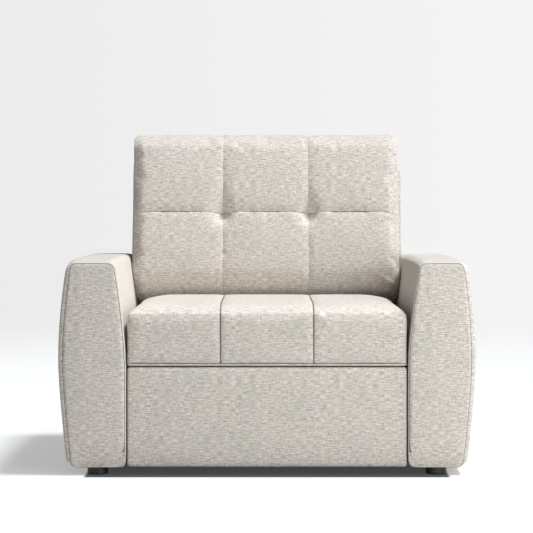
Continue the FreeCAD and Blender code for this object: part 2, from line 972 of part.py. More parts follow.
def lean_point(inward, along):
    d = back_face_depth + inward * math.cos(lean) + along * math.sin(lean)
    z = ledge_top_z - inward * math.sin(lean) + along * math.cos(lean)
    return (d, z)


# Depth of a plane parallel to the back face at one height
def lean_depth(inward, z):
    along = (z - ledge_top_z + inward * math.sin(lean)) / math.cos(lean)
    return lean_point(inward, along)[0]


# Outline between the arms, seen from the front, that follows their inner faces
def between_arms(gap, upper_x, bottom, top):
    d0 = -overall_depth
    right = [V(min(arm_inner(bottom) - gap, upper_x), d0, bottom)]
    steps = 8
    low = max(bottom, arm_flare_z)
    if low > bottom:
        right.append(V(arm_inner(low) - gap, d0, low))
    for i in range(1, steps + 1):
        z = low + (arm_top_z - low) * i / steps
        right.append(V(min(arm_inner(z) - gap, upper_x), d0, z))
    over_arm = arm_top_z + gap
    right.append(V(right[-1].x, d0, over_arm))
    if upper_x > right[-1].x:
        right.append(V(upper_x, d0, over_arm))
    right.append(V(upper_x, d0, top))
    left = [V(-p.x, p.y, p.z) for p in reversed(right)]
    points = right + left
    face = Part.Face(Part.makePolygon(points + [points[0]]))
    return face.extrude(V(0, 2.0 * overall_depth, 0))


back_side_inner_x = arm_inner_x - back_panel_thickness
back_wall_depth = overall_depth - back_rear_wall
back_inside_top = back_top_z - back_top_wall
front_skin = back_front_wall + strap_thickness
back_side_panel = plate(
    back_side_inner_x,
    arm_inner_x,
    [
        (rail_rear_depth, back_panel_bottom_z),
        (back_wall_depth, back_panel_bottom_z),
        (back_wall_depth, back_inside_top),
        (lean_depth(front_skin, back_inside_top), back_inside_top),
        (lean_depth(front_skin, ledge_top_z), ledge_top_z),
        (ledge_front_depth, ledge_top_z),
        (ledge_front_depth, back_gusset_front_z),
        (rail_rear_depth, back_gusset_low_z),
    ],
)
ledge_rear_depth = lean_depth(front_skin, ledge_top_z)
back_ledge_rail = block(
    -back_side_inner_x,
    back_side_inner_x,
    ledge_front_depth,
    ledge_rear_depth,
    ledge_top_z - ledge_thickness,
    ledge_top_z,
)
back_top_rail = plate(
    -back_side_inner_x,
    back_side_inner_x,
    [
        (lean_depth(front_skin, back_inside_top), back_inside_top),
        (lean_depth(front_skin, back_inside_top - back_rail_height), back_inside_top - back_rail_height),
        (back_wall_depth, back_inside_top - back_rail_height),
        (back_wall_depth, back_inside_top),
    ],
)
back_mid_rail = block(
    -back_side_inner_x,
    back_side_inner_x,
    back_wall_depth - back_rail_thickness,
    back_wall_depth,
    back_mid_rail_z,
    back_mid_rail_z + back_rail_height,
)
rear_cross_rail = block(
    -back_side_inner_x,
    back_side_inner_x,
    back_wall_depth - rear_cross_rail_depth,
    back_wall_depth,
    rail_bottom_z,
    rail_bottom_z + rear_cross_rail_height,
)
straps = []
for i in range(strap_count):
    low = strap_first_height + i * (strap_width + strap_gap)
    corners = [
        lean_point(back_front_wall, low),
        lean_point(back_front_wall, low + strap_width),
        lean_point(front_skin, low + strap_width),
        lean_point(front_skin, low),
    ]
    straps.append(plate(-arm_inner_x, arm_inner_x, corners))

# Back cover: front, top, sides and the outside back in one skin
back_cover_bottom_z = arm_bottom_z
back_outer = plate(
    -arm_widest_x,
    arm_widest_x,
    [
        (lean_depth(0.0, ledge_top_z), ledge_top_z),
        (lean_depth(0.0, back_top_z), back_top_z),
        (overall_depth, back_top_z),
        (overall_depth, back_cover_bottom_z),
        (back_wall_depth, back_cover_bottom_z),
        (back_wall_depth, ledge_top_z),
    ],
)
back_outer = back_outer.common(between_arms(back_arm_gap, back_upper_half_width, 0.0, 2.0 * back_top_z))


def back_rounded(edge):
    return edge.BoundBox.ZMin > back_top_z - 0.01


back_outer = back_outer.makeFillet(back_cover_radius, edges_where(back_outer, back_rounded))
back_cavity = plate(
    -arm_inner_x,
    arm_inner_x,
    [
        (lean_depth(back_front_wall, ledge_top_z), ledge_top_z - 1.0),
        (lean_depth(back_front_wall, ledge_top_z), ledge_top_z),
        (lean_depth(back_front_wall, back_inside_top), back_inside_top),
        (back_wall_depth, back_inside_top),
        (back_wall_depth, ledge_top_z - 1.0),
    ],
)
back_cover = back_outer.cut(back_cavity)

# Loose back cushion, narrower between the arms
cushion_bottom_z = ledge_top_z + cushion_gap
cushion_rear = lean_depth(-cushion_gap, cushion_bottom_z)
cushion_top_rear = lean_depth(-cushion_gap, cushion_top_z)
cushion_rise = cushion_top_z - cushion_bottom_z


def cushion_point(depth, z):
    return V(0, depth - overall_depth / 2.0, z)


# Side view: rolled under at the bottom, full in the lower half, thin at the top
front_curve = []
for share, thickness in cushion_profile:
    z = cushion_bottom_z + cushion_rise * share
    rear = cushion_rear + (cushion_top_rear - cushion_rear) * share
    front_curve.append(cushion_point(rear - thickness, z))
rear_low = cushion_point(cushion_rear, cushion_bottom_z)
rear_top = cushion_point(cushion_top_rear, cushion_top_z)
cushion_wire = Part.Wire(
    [
        curve(front_curve),
        Part.makeLine(front_curve[-1], rear_top),
        Part.makeLine(rear_top, rear_low),
        Part.makeLine(rear_low, front_curve[0]),
    ]
)
back_cushion = Part.Face(cushion_wire).extrude(V(2.0 * arm_widest_x, 0, 0))
back_cushion.translate(V(-arm_widest_x, 0, 0))
back_cushion = back_cushion.common(
    between_arms(cushion_side_gap, cushion_upper_half_width, ledge_top_z, 2.0 * cushion_top_z)
)

# Files
save_pair("arm_cover", arm_cover)
save("arm_frame_right", [side_board, bottom_rail, bottom_rail_filler, front_post, rear_post, top_rail])
left_frame = [side_board, bottom_rail, bottom_rail_filler, front_post, rear_post, top_rail]
save("arm_frame_left", [mirrored(s) for s in left_frame])
save_pair("arm_base_board", base_board)
save_pair("foot_front", feet[0])
save_pair("foot_rear", feet[1])
save("foot_bolts", both(foot_bolts))
save_pair("side_rail", side_rail)
save("rail_bolts", both(rail_bolts))
save("front_cross_rail", [front_cross_rail])
save("rear_cross_rail", [rear_cross_rail])
save("rest_bumpers", both([bumper]))
save_pair("mechanism_plate", mechanism_plate)
save_pair("back_side_panel", back_side_panel)
save("back_top_rail", [back_top_rail])
save("back_mid_rail", [back_mid_rail])
save("back_ledge_rail", [back_ledge_rail])
save("back_webbing", straps)
save("back_cover", [back_cover])
save_pair("front_link", lifting_link(front_pivot_depth))
save("front_link_cross_tube", [cross_tube(front_pivot_depth)])
save_pair("rear_link", lifting_link(rear_pivot_depth))
save("rear_link_cross_tube", [cross_tube(rear_pivot_depth)])
save("head_side_tubes", both([head_side_tube]))
save("head_cross_tubes", head_cross_tubes)
save("head_slats", head_slats)
save("head_mattress", [head_mattress])
save("link_hangers", both(hangers))
save("link_pins", both(link_pins))
save("head_hinge_plates", both([head_hinge_plate]))
save("head_hinge_pins", both([head_hinge_pin]))
save("middle_side_tubes", both([middle_side_tube]))
save("middle_cross_tubes", middle_cross_tubes)
save("middle_slats", middle_slats)
save("middle_mattress", [middle_mattress])
save("middle_hinge_plates", both([middle_front_hinge_plate, middle_rear_hinge_plate]))
save("seat_hinge_pins", both([seat_hinge_pin]))
save("leg_brackets", both([leg_bracket]))
save("leg_pins", both([leg_pin]))
save("seat_deck", [seat_deck])
save("seat_cushion", [seat_cushion])
save("seat_hinge_brackets", both([seat_hinge_bracket]))
save("front_board", [front_board])
save("front_panel", [front_panel])
save("corner_brackets", both([corner_bracket]))
save("floor_glides", both([floor_glide]))
save_pair("support_leg", support_leg)
save("leg_caps", both([leg_cap]))
save("back_cushion", [back_cushion])
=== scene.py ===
import json
import math

import bpy
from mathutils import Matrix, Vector


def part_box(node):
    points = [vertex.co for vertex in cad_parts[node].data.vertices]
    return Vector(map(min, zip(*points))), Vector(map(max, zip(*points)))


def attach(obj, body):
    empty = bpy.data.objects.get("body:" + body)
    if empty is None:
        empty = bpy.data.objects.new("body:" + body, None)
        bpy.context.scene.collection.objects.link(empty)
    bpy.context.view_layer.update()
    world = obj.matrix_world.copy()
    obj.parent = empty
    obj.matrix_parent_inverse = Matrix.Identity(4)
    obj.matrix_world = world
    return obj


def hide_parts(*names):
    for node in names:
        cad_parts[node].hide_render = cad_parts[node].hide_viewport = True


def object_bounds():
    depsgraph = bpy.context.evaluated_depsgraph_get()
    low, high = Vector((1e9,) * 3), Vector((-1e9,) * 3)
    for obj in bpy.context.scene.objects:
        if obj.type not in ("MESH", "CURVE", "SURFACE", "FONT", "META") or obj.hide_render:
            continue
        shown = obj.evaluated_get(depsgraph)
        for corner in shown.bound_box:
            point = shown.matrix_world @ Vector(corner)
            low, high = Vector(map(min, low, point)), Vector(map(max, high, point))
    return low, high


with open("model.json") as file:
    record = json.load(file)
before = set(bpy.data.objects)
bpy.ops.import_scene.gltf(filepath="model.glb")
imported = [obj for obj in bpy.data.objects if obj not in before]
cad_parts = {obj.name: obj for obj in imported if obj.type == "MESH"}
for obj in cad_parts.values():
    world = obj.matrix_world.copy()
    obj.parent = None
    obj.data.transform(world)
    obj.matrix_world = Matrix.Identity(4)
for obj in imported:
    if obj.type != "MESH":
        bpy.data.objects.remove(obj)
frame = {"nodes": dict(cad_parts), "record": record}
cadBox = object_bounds()
print("frame loaded")

# Camera: straight on, a little above the seat, with a long lens
cameraView = {"distance": 5.6, "height": 0.745, "frameWidth": 1.482, "sensor": 36.0, "imageSide": 533,
              "horizonRow": 207.5, "centreColumn": 267.0}


def addCamera(view, frontY):
    data = bpy.data.cameras.new("camera")
    data.sensor_width = view["sensor"]
    data.lens = view["sensor"] * view["distance"] / view["frameWidth"]
    middle = view["imageSide"] / 2
    data.shift_x = (middle - view["centreColumn"]) / view["imageSide"]
    data.shift_y = (view["horizonRow"] - middle) / view["imageSide"]
    camera = bpy.data.objects.new("camera", data)
    camera.location = (0, frontY - view["distance"], view["height"])
    camera.rotation_euler = (math.pi / 2, 0, 0)
    bpy.context.collection.objects.link(camera)
    bpy.context.scene.camera = camera


addCamera(cameraView, cadBox[0].y)
bpy.context.scene.view_settings.view_transform = "Standard"
print("camera set")


def linear(hexColour):  # sRGB hex to the linear values that shaders use
    channels = [int(hexColour[i:i + 2], 16) / 255 for i in (1, 3, 5)]
    return [c / 12.92 if c <= 0.04045 else ((c + 0.055) / 1.055) ** 2.4 for c in channels] + [1.0]


def addNode(tree, kind, settings=None, inputs=None):
    new = tree.nodes.new(kind)
    for name, value in (settings or {}).items():
        setattr(new, name, value)
    for name, value in (inputs or {}).items():
        if isinstance(value, bpy.types.NodeSocket):
            tree.links.new(value, new.inputs[name])
        else:
            new.inputs[name].default_value = value
    return new


# A material by name, with the sockets that no pattern drives
def newMaterial(name, look):
    material = bpy.data.materials.new(name)
    material.use_nodes = True
    tree = material.node_tree
    shader = tree.nodes["Principled BSDF"]
    shader.inputs["Roughness"].default_value = look["roughness"]
    for socket, value in look.get("fixed", {}).items():
        shader.inputs[socket].default_value = value
    return material, tree, shader


noiseRange = (0.3, 0.7)  # where nearly all values of a noise pattern lie


# Two colours mixed by a pattern, a low relief from a height, and an uneven gloss where one is given.
# Contrast is the two values of the pattern where it reaches the dark and the light colour.
def coverWith(tree, shader, look, pattern, height, gloss=None):
    if "contrast" in look:
        low, high = look["contrast"]
        pattern = addNode(tree, "ShaderNodeMapRange", None,
                          {"Value": pattern, "From Min": low, "From Max": high}).outputs[0]
    mix = addNode(tree, "ShaderNodeMix", {"data_type": "RGBA"},
                  {0: pattern, 6: linear(look["dark"]), 7: linear(look["light"])})
    tree.links.new(mix.outputs[2], shader.inputs["Base Color"])
    bump = addNode(tree, "ShaderNodeBump", None,
                   {"Height": height, "Distance": look["reliefMm"] / 1000, "Strength": look["relief"]})
    tree.links.new(bump.outputs["Normal"], shader.inputs["Normal"])
    if gloss:
        swing = look["roughnessSwing"]
        uneven = addNode(tree, "ShaderNodeMapRange", None,
                         {"Value": gloss, "From Min": noiseRange[0], "From Max": noiseRange[1],
                          "To Min": look["roughness"] - swing, "To Max": look["roughness"] + swing})
        tree.links.new(uneven.outputs[0], shader.inputs["Roughness"])
    return mix.outputs[2]


# A noise pattern, stretched or pressed along each axis
def stretchedNoise(tree, place, stretch, detail, roughness):
    cells = addNode(tree, "ShaderNodeMapping", None, {"Vector": place, "Scale": stretch}).outputs[0]
    return addNode(tree, "ShaderNodeTexNoise", None,
                   {"Vector": cells, "Scale": 1.0, "Detail": detail, "Roughness": roughness}).outputs[0]


def bandScale(pitchMm):  # the wave texture's scale for bands at a pitch
    return math.pi / 10 * 1000 / pitchMm


# Two directions of threads that cross, each with its axis and pitch
def crossThreads(tree, place, directions, distortion, detail):
    waves = [addNode(tree, "ShaderNodeTexWave", {"bands_direction": axis},
                     {"Vector": place, "Scale": bandScale(pitch), "Distortion": distortion,
                      "Detail": detail}).outputs[1] for axis, pitch in directions]
    return addNode(tree, "ShaderNodeMath", {"operation": "MULTIPLY"}, {0: waves[0], 1: waves[1]}).outputs[0]


# Linen-look upholstery: woven polyester, plain weave with thick and thin threads.
# It gives the eye soft level dashes, a matt face and a faint bloom at grazing angles.
# The real threads are under 1 mm thick, so the dashes are drawn 3 mm high to show in the render.
# An odd thread has its colour, its greatest share, and the noise value where it reaches that share.
linenLook = {"roughness": 0.92, "dark": "#9f9488", "light": "#faf4ec", "threadPitchMm": 1.6,
             "slubLengthMm": 18.0, "slubHeightMm": 3.1, "uprightCut": 1.4, "uprightShare": 0.34,
             "threadRange": (0.27, 0.73), "patchMm": 80.0, "slubRelief": 0.8, "reliefMm": 0.6, "relief": 0.6,
             "oddThreads": [("#bfc1b7", 0.30, 0.68), ("#dccdc6", 0.24, 0.32)],
             "fixed": {"Sheen Weight": 0.35, "Sheen Roughness": 0.45, "Specular IOR Level": 0.25}}


def makeLinen(name, look):
    material, tree, shader = newMaterial(name, look)
    cloth = addNode(tree, "ShaderNodeUVMap", {"uv_map": "cloth"}).outputs["UV"]
    along = 1000 / look["slubLengthMm"]
    across = 1000 / look["slubHeightMm"]
    level = stretchedNoise(tree, cloth, (along, across, 1.0), 1.0, 0.6)
    upright = stretchedNoise(tree, cloth, (across, along * look["uprightCut"], 1.0), 1.0, 0.5)
    threads = addNode(tree, "ShaderNodeMix", {"data_type": "FLOAT"},
                      {0: look["uprightShare"], 2: level, 3: upright}).outputs[0]
    low, high = look["threadRange"]
    tone = addNode(tree, "ShaderNodeMapRange", None,
                   {"Value": threads, "From Min": low, "From Max": high}).outputs[0]
    weave = crossThreads(tree, cloth, [(axis, look["threadPitchMm"]) for axis in "XY"], 0.6, 1.0)
    height = addNode(tree, "ShaderNodeMath", {"operation": "MULTIPLY_ADD"},
                     {0: tone, 1: look["slubRelief"], 2: weave}).outputs[0]
    colour = coverWith(tree, shader, look, tone, height)
    patches = addNode(tree, "ShaderNodeTexNoise", None,
                      {"Vector": cloth, "Scale": 1000 / look["patchMm"], "Detail": 2.0}).outputs[0]
    for thread, most, edge in look["oddThreads"]:  # each sets in from the middle of the noise
        share = addNode(tree, "ShaderNodeMapRange", None,
                        {"Value": patches, "From Min": 0.5, "From Max": edge, "To Max": most}).outputs[0]
        colour = addNode(tree, "ShaderNodeMix", {"data_type": "RGBA"},
                         {0: share, 6: colour, 7: linear(thread)}).outputs[2]
    tree.links.new(colour, shader.inputs["Base Color"])
    return material


# Twisted polyester sewing thread, pulled down into the seams: a thin line coloured much darker than the
# cloth, so that it also paints the shade in the seam groove
threadAndSeamShadeLook = {"roughness": 0.9, "dark": "#665e54", "light": "#857c71", "twistMm": 1.2, "reliefMm": 0.2,
              "relief": 0.5, "fixed": {"Specular IOR Level": 0.2}}


def makeThreadAndSeamShade(name, look):
    material, tree, shader = newMaterial(name, look)
    place = addNode(tree, "ShaderNodeTexCoord").outputs["Object"]
    twist = addNode(tree, "ShaderNodeTexNoise", None,
                    {"Vector": place, "Scale": 1000 / look["twistMm"]}).outputs[0]
    coverWith(tree, shader, look, twist, twist)
    return material


# Knitted polyester ticking over a thin quilted wadding: off-white and matt, with a knit rib.
# A real rib is about 1 mm wide, and it is drawn at 2.4 mm to show in the render.
tickingLook = {"roughness": 0.95, "dark": "#cfcdc6", "light": "#efeee9", "ribMm": 2.4, "ribShare": 0.4,
               "cloudMm": 18.0, "contrast": (0.35, 1.0), "reliefMm": 0.4, "relief": 0.5,
               "fixed": {"Sheen Weight": 0.15, "Sheen Roughness": 0.5, "Specular IOR Level": 0.2}}


def makeTicking(name, look):
    material, tree, shader = newMaterial(name, look)
    cloth = addNode(tree, "ShaderNodeUVMap", {"uv_map": "cloth"}).outputs["UV"]
    ribs = addNode(tree, "ShaderNodeTexWave", {"bands_direction": "X"},
                   {"Vector": cloth, "Scale": bandScale(look["ribMm"]), "Distortion": 1.0,
                    "Detail": 1.0}).outputs[1]
    cloud = addNode(tree, "ShaderNodeTexNoise", None,
                    {"Vector": cloth, "Scale": 1000 / look["cloudMm"], "Detail": 3.0,
                     "Roughness": 0.7}).outputs[0]
    both = addNode(tree, "ShaderNodeMath", {"operation": "MULTIPLY_ADD"},
                   {0: ribs, 1: look["ribShare"], 2: cloud}).outputs[0]
    coverWith(tree, shader, look, both, ribs)
    return material


# Wood that shows its grain: long soft streaks along one axis, and short pores in them.
# Real pores are too fine to show, so the grain is drawn 4 to 11 mm wide.
woodFigure = {"poreCut": (4, 5, 5), "poreShare": 0.35, "contrast": (0.5, 0.85), "roughnessSwing": 0.08,
              "reliefMm": 0.3, "relief": 0.4}


def makeWood(name, ownLook):
    look = {**woodFigure, **ownLook}
    material, tree, shader = newMaterial(name, look)
    place = addNode(tree, "ShaderNodeTexCoord").outputs["Object"]
    stretch = Vector((1000 / look["streakMm"], 1000 / look["grainMm"], 1000 / look["grainMm"]))
    grain = stretchedNoise(tree, place, stretch, 5.0, 0.6)
    pores = stretchedNoise(tree, place, stretch * Vector(look["poreCut"]), 2.0, 0.5)
    both = addNode(tree, "ShaderNodeMath", {"operation": "MULTIPLY_ADD"},
                   {0: pores, 1: look["poreShare"], 2: grain}).outputs[0]
    coverWith(tree, shader, look, both, both, grain)
    return material


# A hard surface whose fine texture comes from its process, with a faint change of tone.
# Most such textures are too fine to show in the render, so they are drawn 0.8 to 2 mm coarse.
hardFigure = {"contrast": noiseRange, "roughnessSwing": 0.06, "relief": 0.5}


def makeHard(name, ownLook):
    look = {**hardFigure, **ownLook}
    material, tree, shader = newMaterial(name, look)
    place = addNode(tree, "ShaderNodeTexCoord").outputs["Object"]
    fine = addNode(tree, "ShaderNodeTexNoise", None,
                   {"Vector": place, "Scale": 1000 / look["textureMm"], "Detail": 2.0,
                    "Roughness": 0.6}).outputs[0]
    broad = addNode(tree, "ShaderNodeTexNoise", None,
                    {"Vector": place, "Scale": 1000 / look["broadMm"], "Detail": 3.0,
                     "Roughness": 0.6}).outputs[0]
    coverWith(tree, shader, look, broad, fine, broad)
    return material


# Woven elastic webbing, polypropylene over rubber: nearly black, matt, with lengthwise ribs
webbingLook = {"roughness": 0.85, "dark": "#1d1d1e", "light": "#5d5b57", "ribMm": 4.0, "pickMm": 2.0,
               "reliefMm": 0.5, "relief": 0.7, "fixed": {"Specular IOR Level": 0.25}}


def makeWebbing(name, look):
    material, tree, shader = newMaterial(name, look)
    place = addNode(tree, "ShaderNodeTexCoord").outputs["Object"]
    weave = crossThreads(tree, place, [("Z", look["ribMm"]), ("X", look["pickMm"])], 0.5, 2.0)
    coverWith(tree, shader, look, weave, weave)
    return material


linen = makeLinen("woven_linen_look_upholstery", linenLook)
# Seam thread, darker than real thread so that it paints the shade in the seam grooves
seamThreadAndShade = makeThreadAndSeamShade("sewing_thread_and_painted_seam_shade", threadAndSeamShadeLook)
ticking = makeTicking("quilted_knit_ticking", tickingLook)
elasticWebbing = makeWebbing("elastic_webbing", webbingLook)
# Sawn and planed beech: warm pinkish tan, fine even grain, no lacquer
beechWood = makeWood("planed_beech", {"roughness": 0.62, "dark": "#a97d52", "light": "#d3ab7d",
                                      "grainMm": 5.0, "streakMm": 160.0})
# Birch plywood: paler rotary-cut veneer with broad cloudy figure
birchPlywood = makeWood("birch_plywood", {"roughness": 0.58, "dark": "#bd9765", "light": "#e2c79c",
                                          "grainMm": 11.0, "streakMm": 220.0})
# Bent beech slats: laminated and lacquered, so smoother and slightly glossy
slatWood = makeWood("lacquered_beech_slats", {"roughness": 0.38, "dark": "#c19c68", "light": "#e3c796",
                                              "grainMm": 4.0, "streakMm": 200.0})
# Injection-moulded polypropylene: near black, spark-eroded matt texture
mouldedPlastic = makeHard("moulded_polypropylene", {"roughness": 0.48, "dark": "#151516", "light": "#232324",
                                                    "textureMm": 1.2, "reliefMm": 0.2, "broadMm": 30.0})
# Powder-coated steel tube: dark grey with a soft orange-peel surface
coatedSteel = makeHard("powder_coated_steel", {"roughness": 0.42, "dark": "#34373a", "light": "#43474a",
                                               "textureMm": 2.0, "reliefMm": 0.2, "broadMm": 60.0,
                                               "fixed": {"Coat Weight": 0.15, "Coat Roughness": 0.3}})
# Zinc-plated steel: bluish bright metal with a slightly cloudy passivation
zincSteel = makeHard("zinc_plated_steel", {"roughness": 0.30, "dark": "#a9aeb0", "light": "#cdd0d0",
                                           "textureMm": 0.8, "reliefMm": 0.1, "broadMm": 12.0,
                                           "roughnessSwing": 0.10, "fixed": {"Metallic": 1.0}})
# Vulcanised rubber: dark grey, dull, a little dusty
greyRubber = makeHard("grey_rubber", {"roughness": 0.82, "dark": "#3b3c3d", "light": "#525354",
                                      "textureMm": 1.5, "reliefMm": 0.3, "broadMm": 20.0})
print("materials made")


# In metres: how near counts as the same place, on a cut mesh and on a bevelled one
tiny = 1e-5
small = 1e-4

ways = {"front": Vector((0, -1, 0)), "rear": Vector((0, 1, 0)),
        "down": Vector((0, 0, -1)), "up": Vector((0, 0, 1))}


def looks(face, way, squarely=0.9):  # whether a face looks that way, by the cosine of its turn
    return face.normal.dot(ways[way]) > squarely


def leaveEdit():
    if bpy.context.mode != "OBJECT":
        bpy.ops.object.mode_set(mode="OBJECT")


def clearSelection():
    leaveEdit()
    for other in bpy.context.selected_objects:
        other.select_set(False)


def workOn(piece):
    clearSelection()
    piece.select_set(True)
    bpy.context.view_layer.objects.active = piece


# Picks the edges or faces that a test accepts, then goes on in edit mode
def pick(piece, kind, test):
    workOn(piece)
    mesh = piece.data
    for parts in (mesh.vertices, mesh.edges, mesh.polygons):
        parts.foreach_set("select", [False] * len(parts))
    for part in {"EDGE": mesh.edges, "FACE": mesh.polygons}[kind]:
        if test(part):
            part.select = True
    bpy.context.tool_settings.mesh_select_mode = (False, kind == "EDGE", kind == "FACE")
    bpy.ops.object.mode_set(mode="EDIT")


def edgeEnds(piece, edge):
    return [piece.data.vertices[i].co for i in edge.vertices]


def runsAlong(piece, edge, axis):  # within 2.5 degrees
    a, b = edgeEnds(piece, edge)
    step = b - a
    return abs(step[axis]) > 0.999 * step.length


# A box primitive at its size and place, cut into cells along each axis
def addBlock(name, low, high, cells):
    clearSelection()
    bpy.ops.mesh.primitive_cube_add(size=1.0, location=(Vector(low) + Vector(high)) / 2)
    piece = bpy.context.object
    piece.name = name
    piece.data.name = name
    piece.scale = Vector(high) - Vector(low)
    bpy.ops.object.transform_apply(location=True, rotation=True, scale=True)
    for axis, count in enumerate(cells):
        if count > 1:
            pick(piece, "EDGE", lambda e: runsAlong(piece, e, axis))
            bpy.ops.mesh.subdivide(number_cuts=count - 1)
    leaveEdit()
    return piece


def moveVertices(piece, place):
    leaveEdit()
    for vertex in piece.data.vertices:
        vertex.co = place(vertex.co.copy())
    piece.data.update()


# Edges round the outside of the faces that a test accepts
def rimOf(piece, faceTest):
    uses = {}
    for face in piece.data.polygons:
        if faceTest(face):
            for key in face.edge_keys:
                uses[key] = uses.get(key, 0) + 1
    return {key for key, count in uses.items() if count == 1}


def bevelEdges(piece, edgeTest, width, segments):
    pick(piece, "EDGE", edgeTest)
    bpy.ops.mesh.bevel(offset=width, segments=segments, profile=0.5, affect="EDGES", clamp_overlap=False)
    leaveEdit()


def bevelRim(piece, faceTest, width, segments):
    leaveEdit()
    rim = rimOf(piece, faceTest)
    bevelEdges(piece, lambda e: tuple(sorted(e.vertices)) in rim, width, segments)


# Insets the faces that a test accepts and pushes them up, which hollows the underside of a cover
def recessBase(piece, faceTest, margin, depth):
    pick(piece, "FACE", faceTest)
    bpy.ops.mesh.inset(thickness=margin)
    bpy.ops.mesh.extrude_region_move(TRANSFORM_OT_translate={"value": (0, 0, depth)})
    leaveEdit()


# A sewn line round a flat panel: a narrow groove a set distance in from the panel's edge
def sewRound(piece, faceTest, margin, width, depth):
    pick(piece, "FACE", faceTest)
    bpy.ops.mesh.inset(thickness=margin)
    bpy.ops.mesh.inset(thickness=width / 2, depth=-depth)
    bpy.ops.mesh.inset(thickness=width / 2, depth=depth)
    leaveEdit()


# Edges that a test accepts become a sewn line: each becomes a narrow strip with the line in its middle
def sewAlong(piece, edgeTest, lineTest, width):
    bevelEdges(piece, edgeTest, width / 2, 2)
    return [v.index for v in piece.data.vertices if lineTest(v.co)]


# Faces that meet along a sunk line show the sewing thread with its painted seam shade, and their long edges
# stay crisp
def showThreadAndSeamShade(piece, indices):
    line = set(indices)
    piece.data.materials.append(linen)
    piece.data.materials.append(seamThreadAndShade)
    edges = set()
    for face in piece.data.polygons:
        if sum(i in line for i in face.vertices) > 1:
            face.material_index = 1
            edges.update(key for key in face.edge_keys if (key[0] in line) == (key[1] in line))
    pick(piece, "EDGE", lambda e: tuple(sorted(e.vertices)) in edges)
    bpy.ops.transform.edge_crease(value=1.0)
    leaveEdit()


def sinkVertices(piece, indices, depth):
    piece.data.update()
    normals = {i: piece.data.vertices[i].normal.copy() for i in indices}
    for i, normal in normals.items():
        piece.data.vertices[i].co -= normal * depth


# A smooth curve through a few (place, value) points
def readCurve(points, at):
    last = len(points) - 1
    for i in range(last):
        (x0, y0), (x1, y1) = points[i], points[i + 1]
        if at <= x1 or i == last - 1:
            before = points[max(i - 1, 0)]
            after = points[min(i + 2, last)]
            slope0 = (y1 - before[1]) / (x1 - before[0])
            slope1 = (after[1] - y0) / (after[0] - x0)
            t = min(1.0, max(0.0, (at - x0) / (x1 - x0)))
            gap = x1 - x0
            return (y0 * (1 + 2 * t) * (1 - t) ** 2 + slope0 * gap * t * (1 - t) ** 2
                    + y1 * t * t * (3 - 2 * t) + slope1 * gap * t * t * (t - 1))


# How far a round edge falls back, for a point that is reach past where the round begins
def roundFall(reach, radius):
    share = min(1.0, max(0.0, reach / radius))
    return radius * (1 - math.sqrt(1 - share * share))


# The same past a boxing seam: the side panel sets off at an angle and then turns back
def boxedFall(reach, radius):
    share = min(1.0, max(0.0, reach / radius))
    return (radius * share + roundFall(reach, radius)) / 2


def bell(distance, width):  # 1 in the middle, dying away over the width
    return math.exp(-(distance / width) ** 2)


# Cloth coordinates in metres, smoothing, and the cover's material with thread and painted seam shade in its
# seams
def finishCloth(piece, levels, material):
    workOn(piece)
    bpy.ops.object.mode_set(mode="EDIT")
    bpy.ops.mesh.select_all(action="SELECT")
    bpy.ops.uv.cube_project(cube_size=1.0, correct_aspect=False, clip_to_bounds=False, scale_to_bounds=False)
    leaveEdit()
    piece.data.uv_layers[0].name = "cloth"
    smooth = piece.modifiers.new("smooth", "SUBSURF")
    smooth.levels = levels
    smooth.render_levels = levels
    bpy.ops.object.modifier_apply(modifier="smooth")
    bpy.ops.object.shade_smooth()
    sewn = [face.material_index for face in piece.data.polygons]
    piece.data.materials.clear()
    for finish in [material, seamThreadAndShade][:max(sewn) + 1]:
        piece.data.materials.append(finish)
    piece.data.polygons.foreach_set("material_index", sewn)


swellFrames = 20
coverCloth = {"quality": 5, "mass": 0.3, "tension_stiffness": 12.0, "compression_stiffness": 12.0,
              "shear_stiffness": 6.0, "bending_stiffness": 0.4, "use_pressure": True}


# The stuffing swells the cover: a short cloth run under pressure, held at sewn and resting points
def swell(piece, pressure, cap, held, slack=0.0):
    workOn(piece)
    rest = [v.co.copy() for v in piece.data.vertices]
    group = piece.vertex_groups.new(name="held")
    group.add([i for i, co in enumerate(rest) if held(co)], 1.0, "REPLACE")
    cloth = piece.modifiers.new("cover", "CLOTH")
    for setting, value in coverCloth.items():
        setattr(cloth.settings, setting, value)
    cloth.settings.shrink_min = -slack
    cloth.settings.uniform_pressure_force = pressure
    cloth.settings.effector_weights.gravity = 0.0
    cloth.settings.vertex_group_mass = "held"
    cloth.point_cache.frame_start = 1
    cloth.point_cache.frame_end = swellFrames
    for step in range(1, swellFrames + 1):
        bpy.context.scene.frame_set(step)
    bpy.ops.object.modifier_apply(modifier="cover")
    for vertex, start in zip(piece.data.vertices, rest):
        move = vertex.co - start
        if move.length > cap:
            vertex.co = start + move.normalized() * cap
    piece.vertex_groups.remove(piece.vertex_groups["held"])
    bpy.context.scene.frame_set(1)


def dress(piece, body, nodes):
    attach(piece, body)
    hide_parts(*nodes)


# Arms: bowed slabs whose inner face opens out above the seat, with a sewn line round the front
armShape = {"cells": (4, 16, 14), "widestHeight": 0.298, "topInset": 0.0244, "topCurve": 1.85,
            "bottomInset": 0.025, "bottomCurve": 1.4, "flare": 0.032, "flareHeight": 0.278,
            "flareCurve": 1.5, "cornerRadius": 0.018, "edgeRadius": 0.0022, "outerEdge": 0.012,
            "outerDepth": 0.009, "outerBlend": 0.040, "rearRadius": 0.009, "seamMargin": 0.0003,
            "seamWidth": 0.0016, "seamDepth": 0.0016, "seamStart": 0.004, "panelSwell": 0.0025,
            "panelSquare": (4, 8), "bodySwell": 0.008, "bodySquare": 5, "baseReach": 0.002,
            "baseMargin": 0.018, "baseRecess": 0.018, "levels": 2}


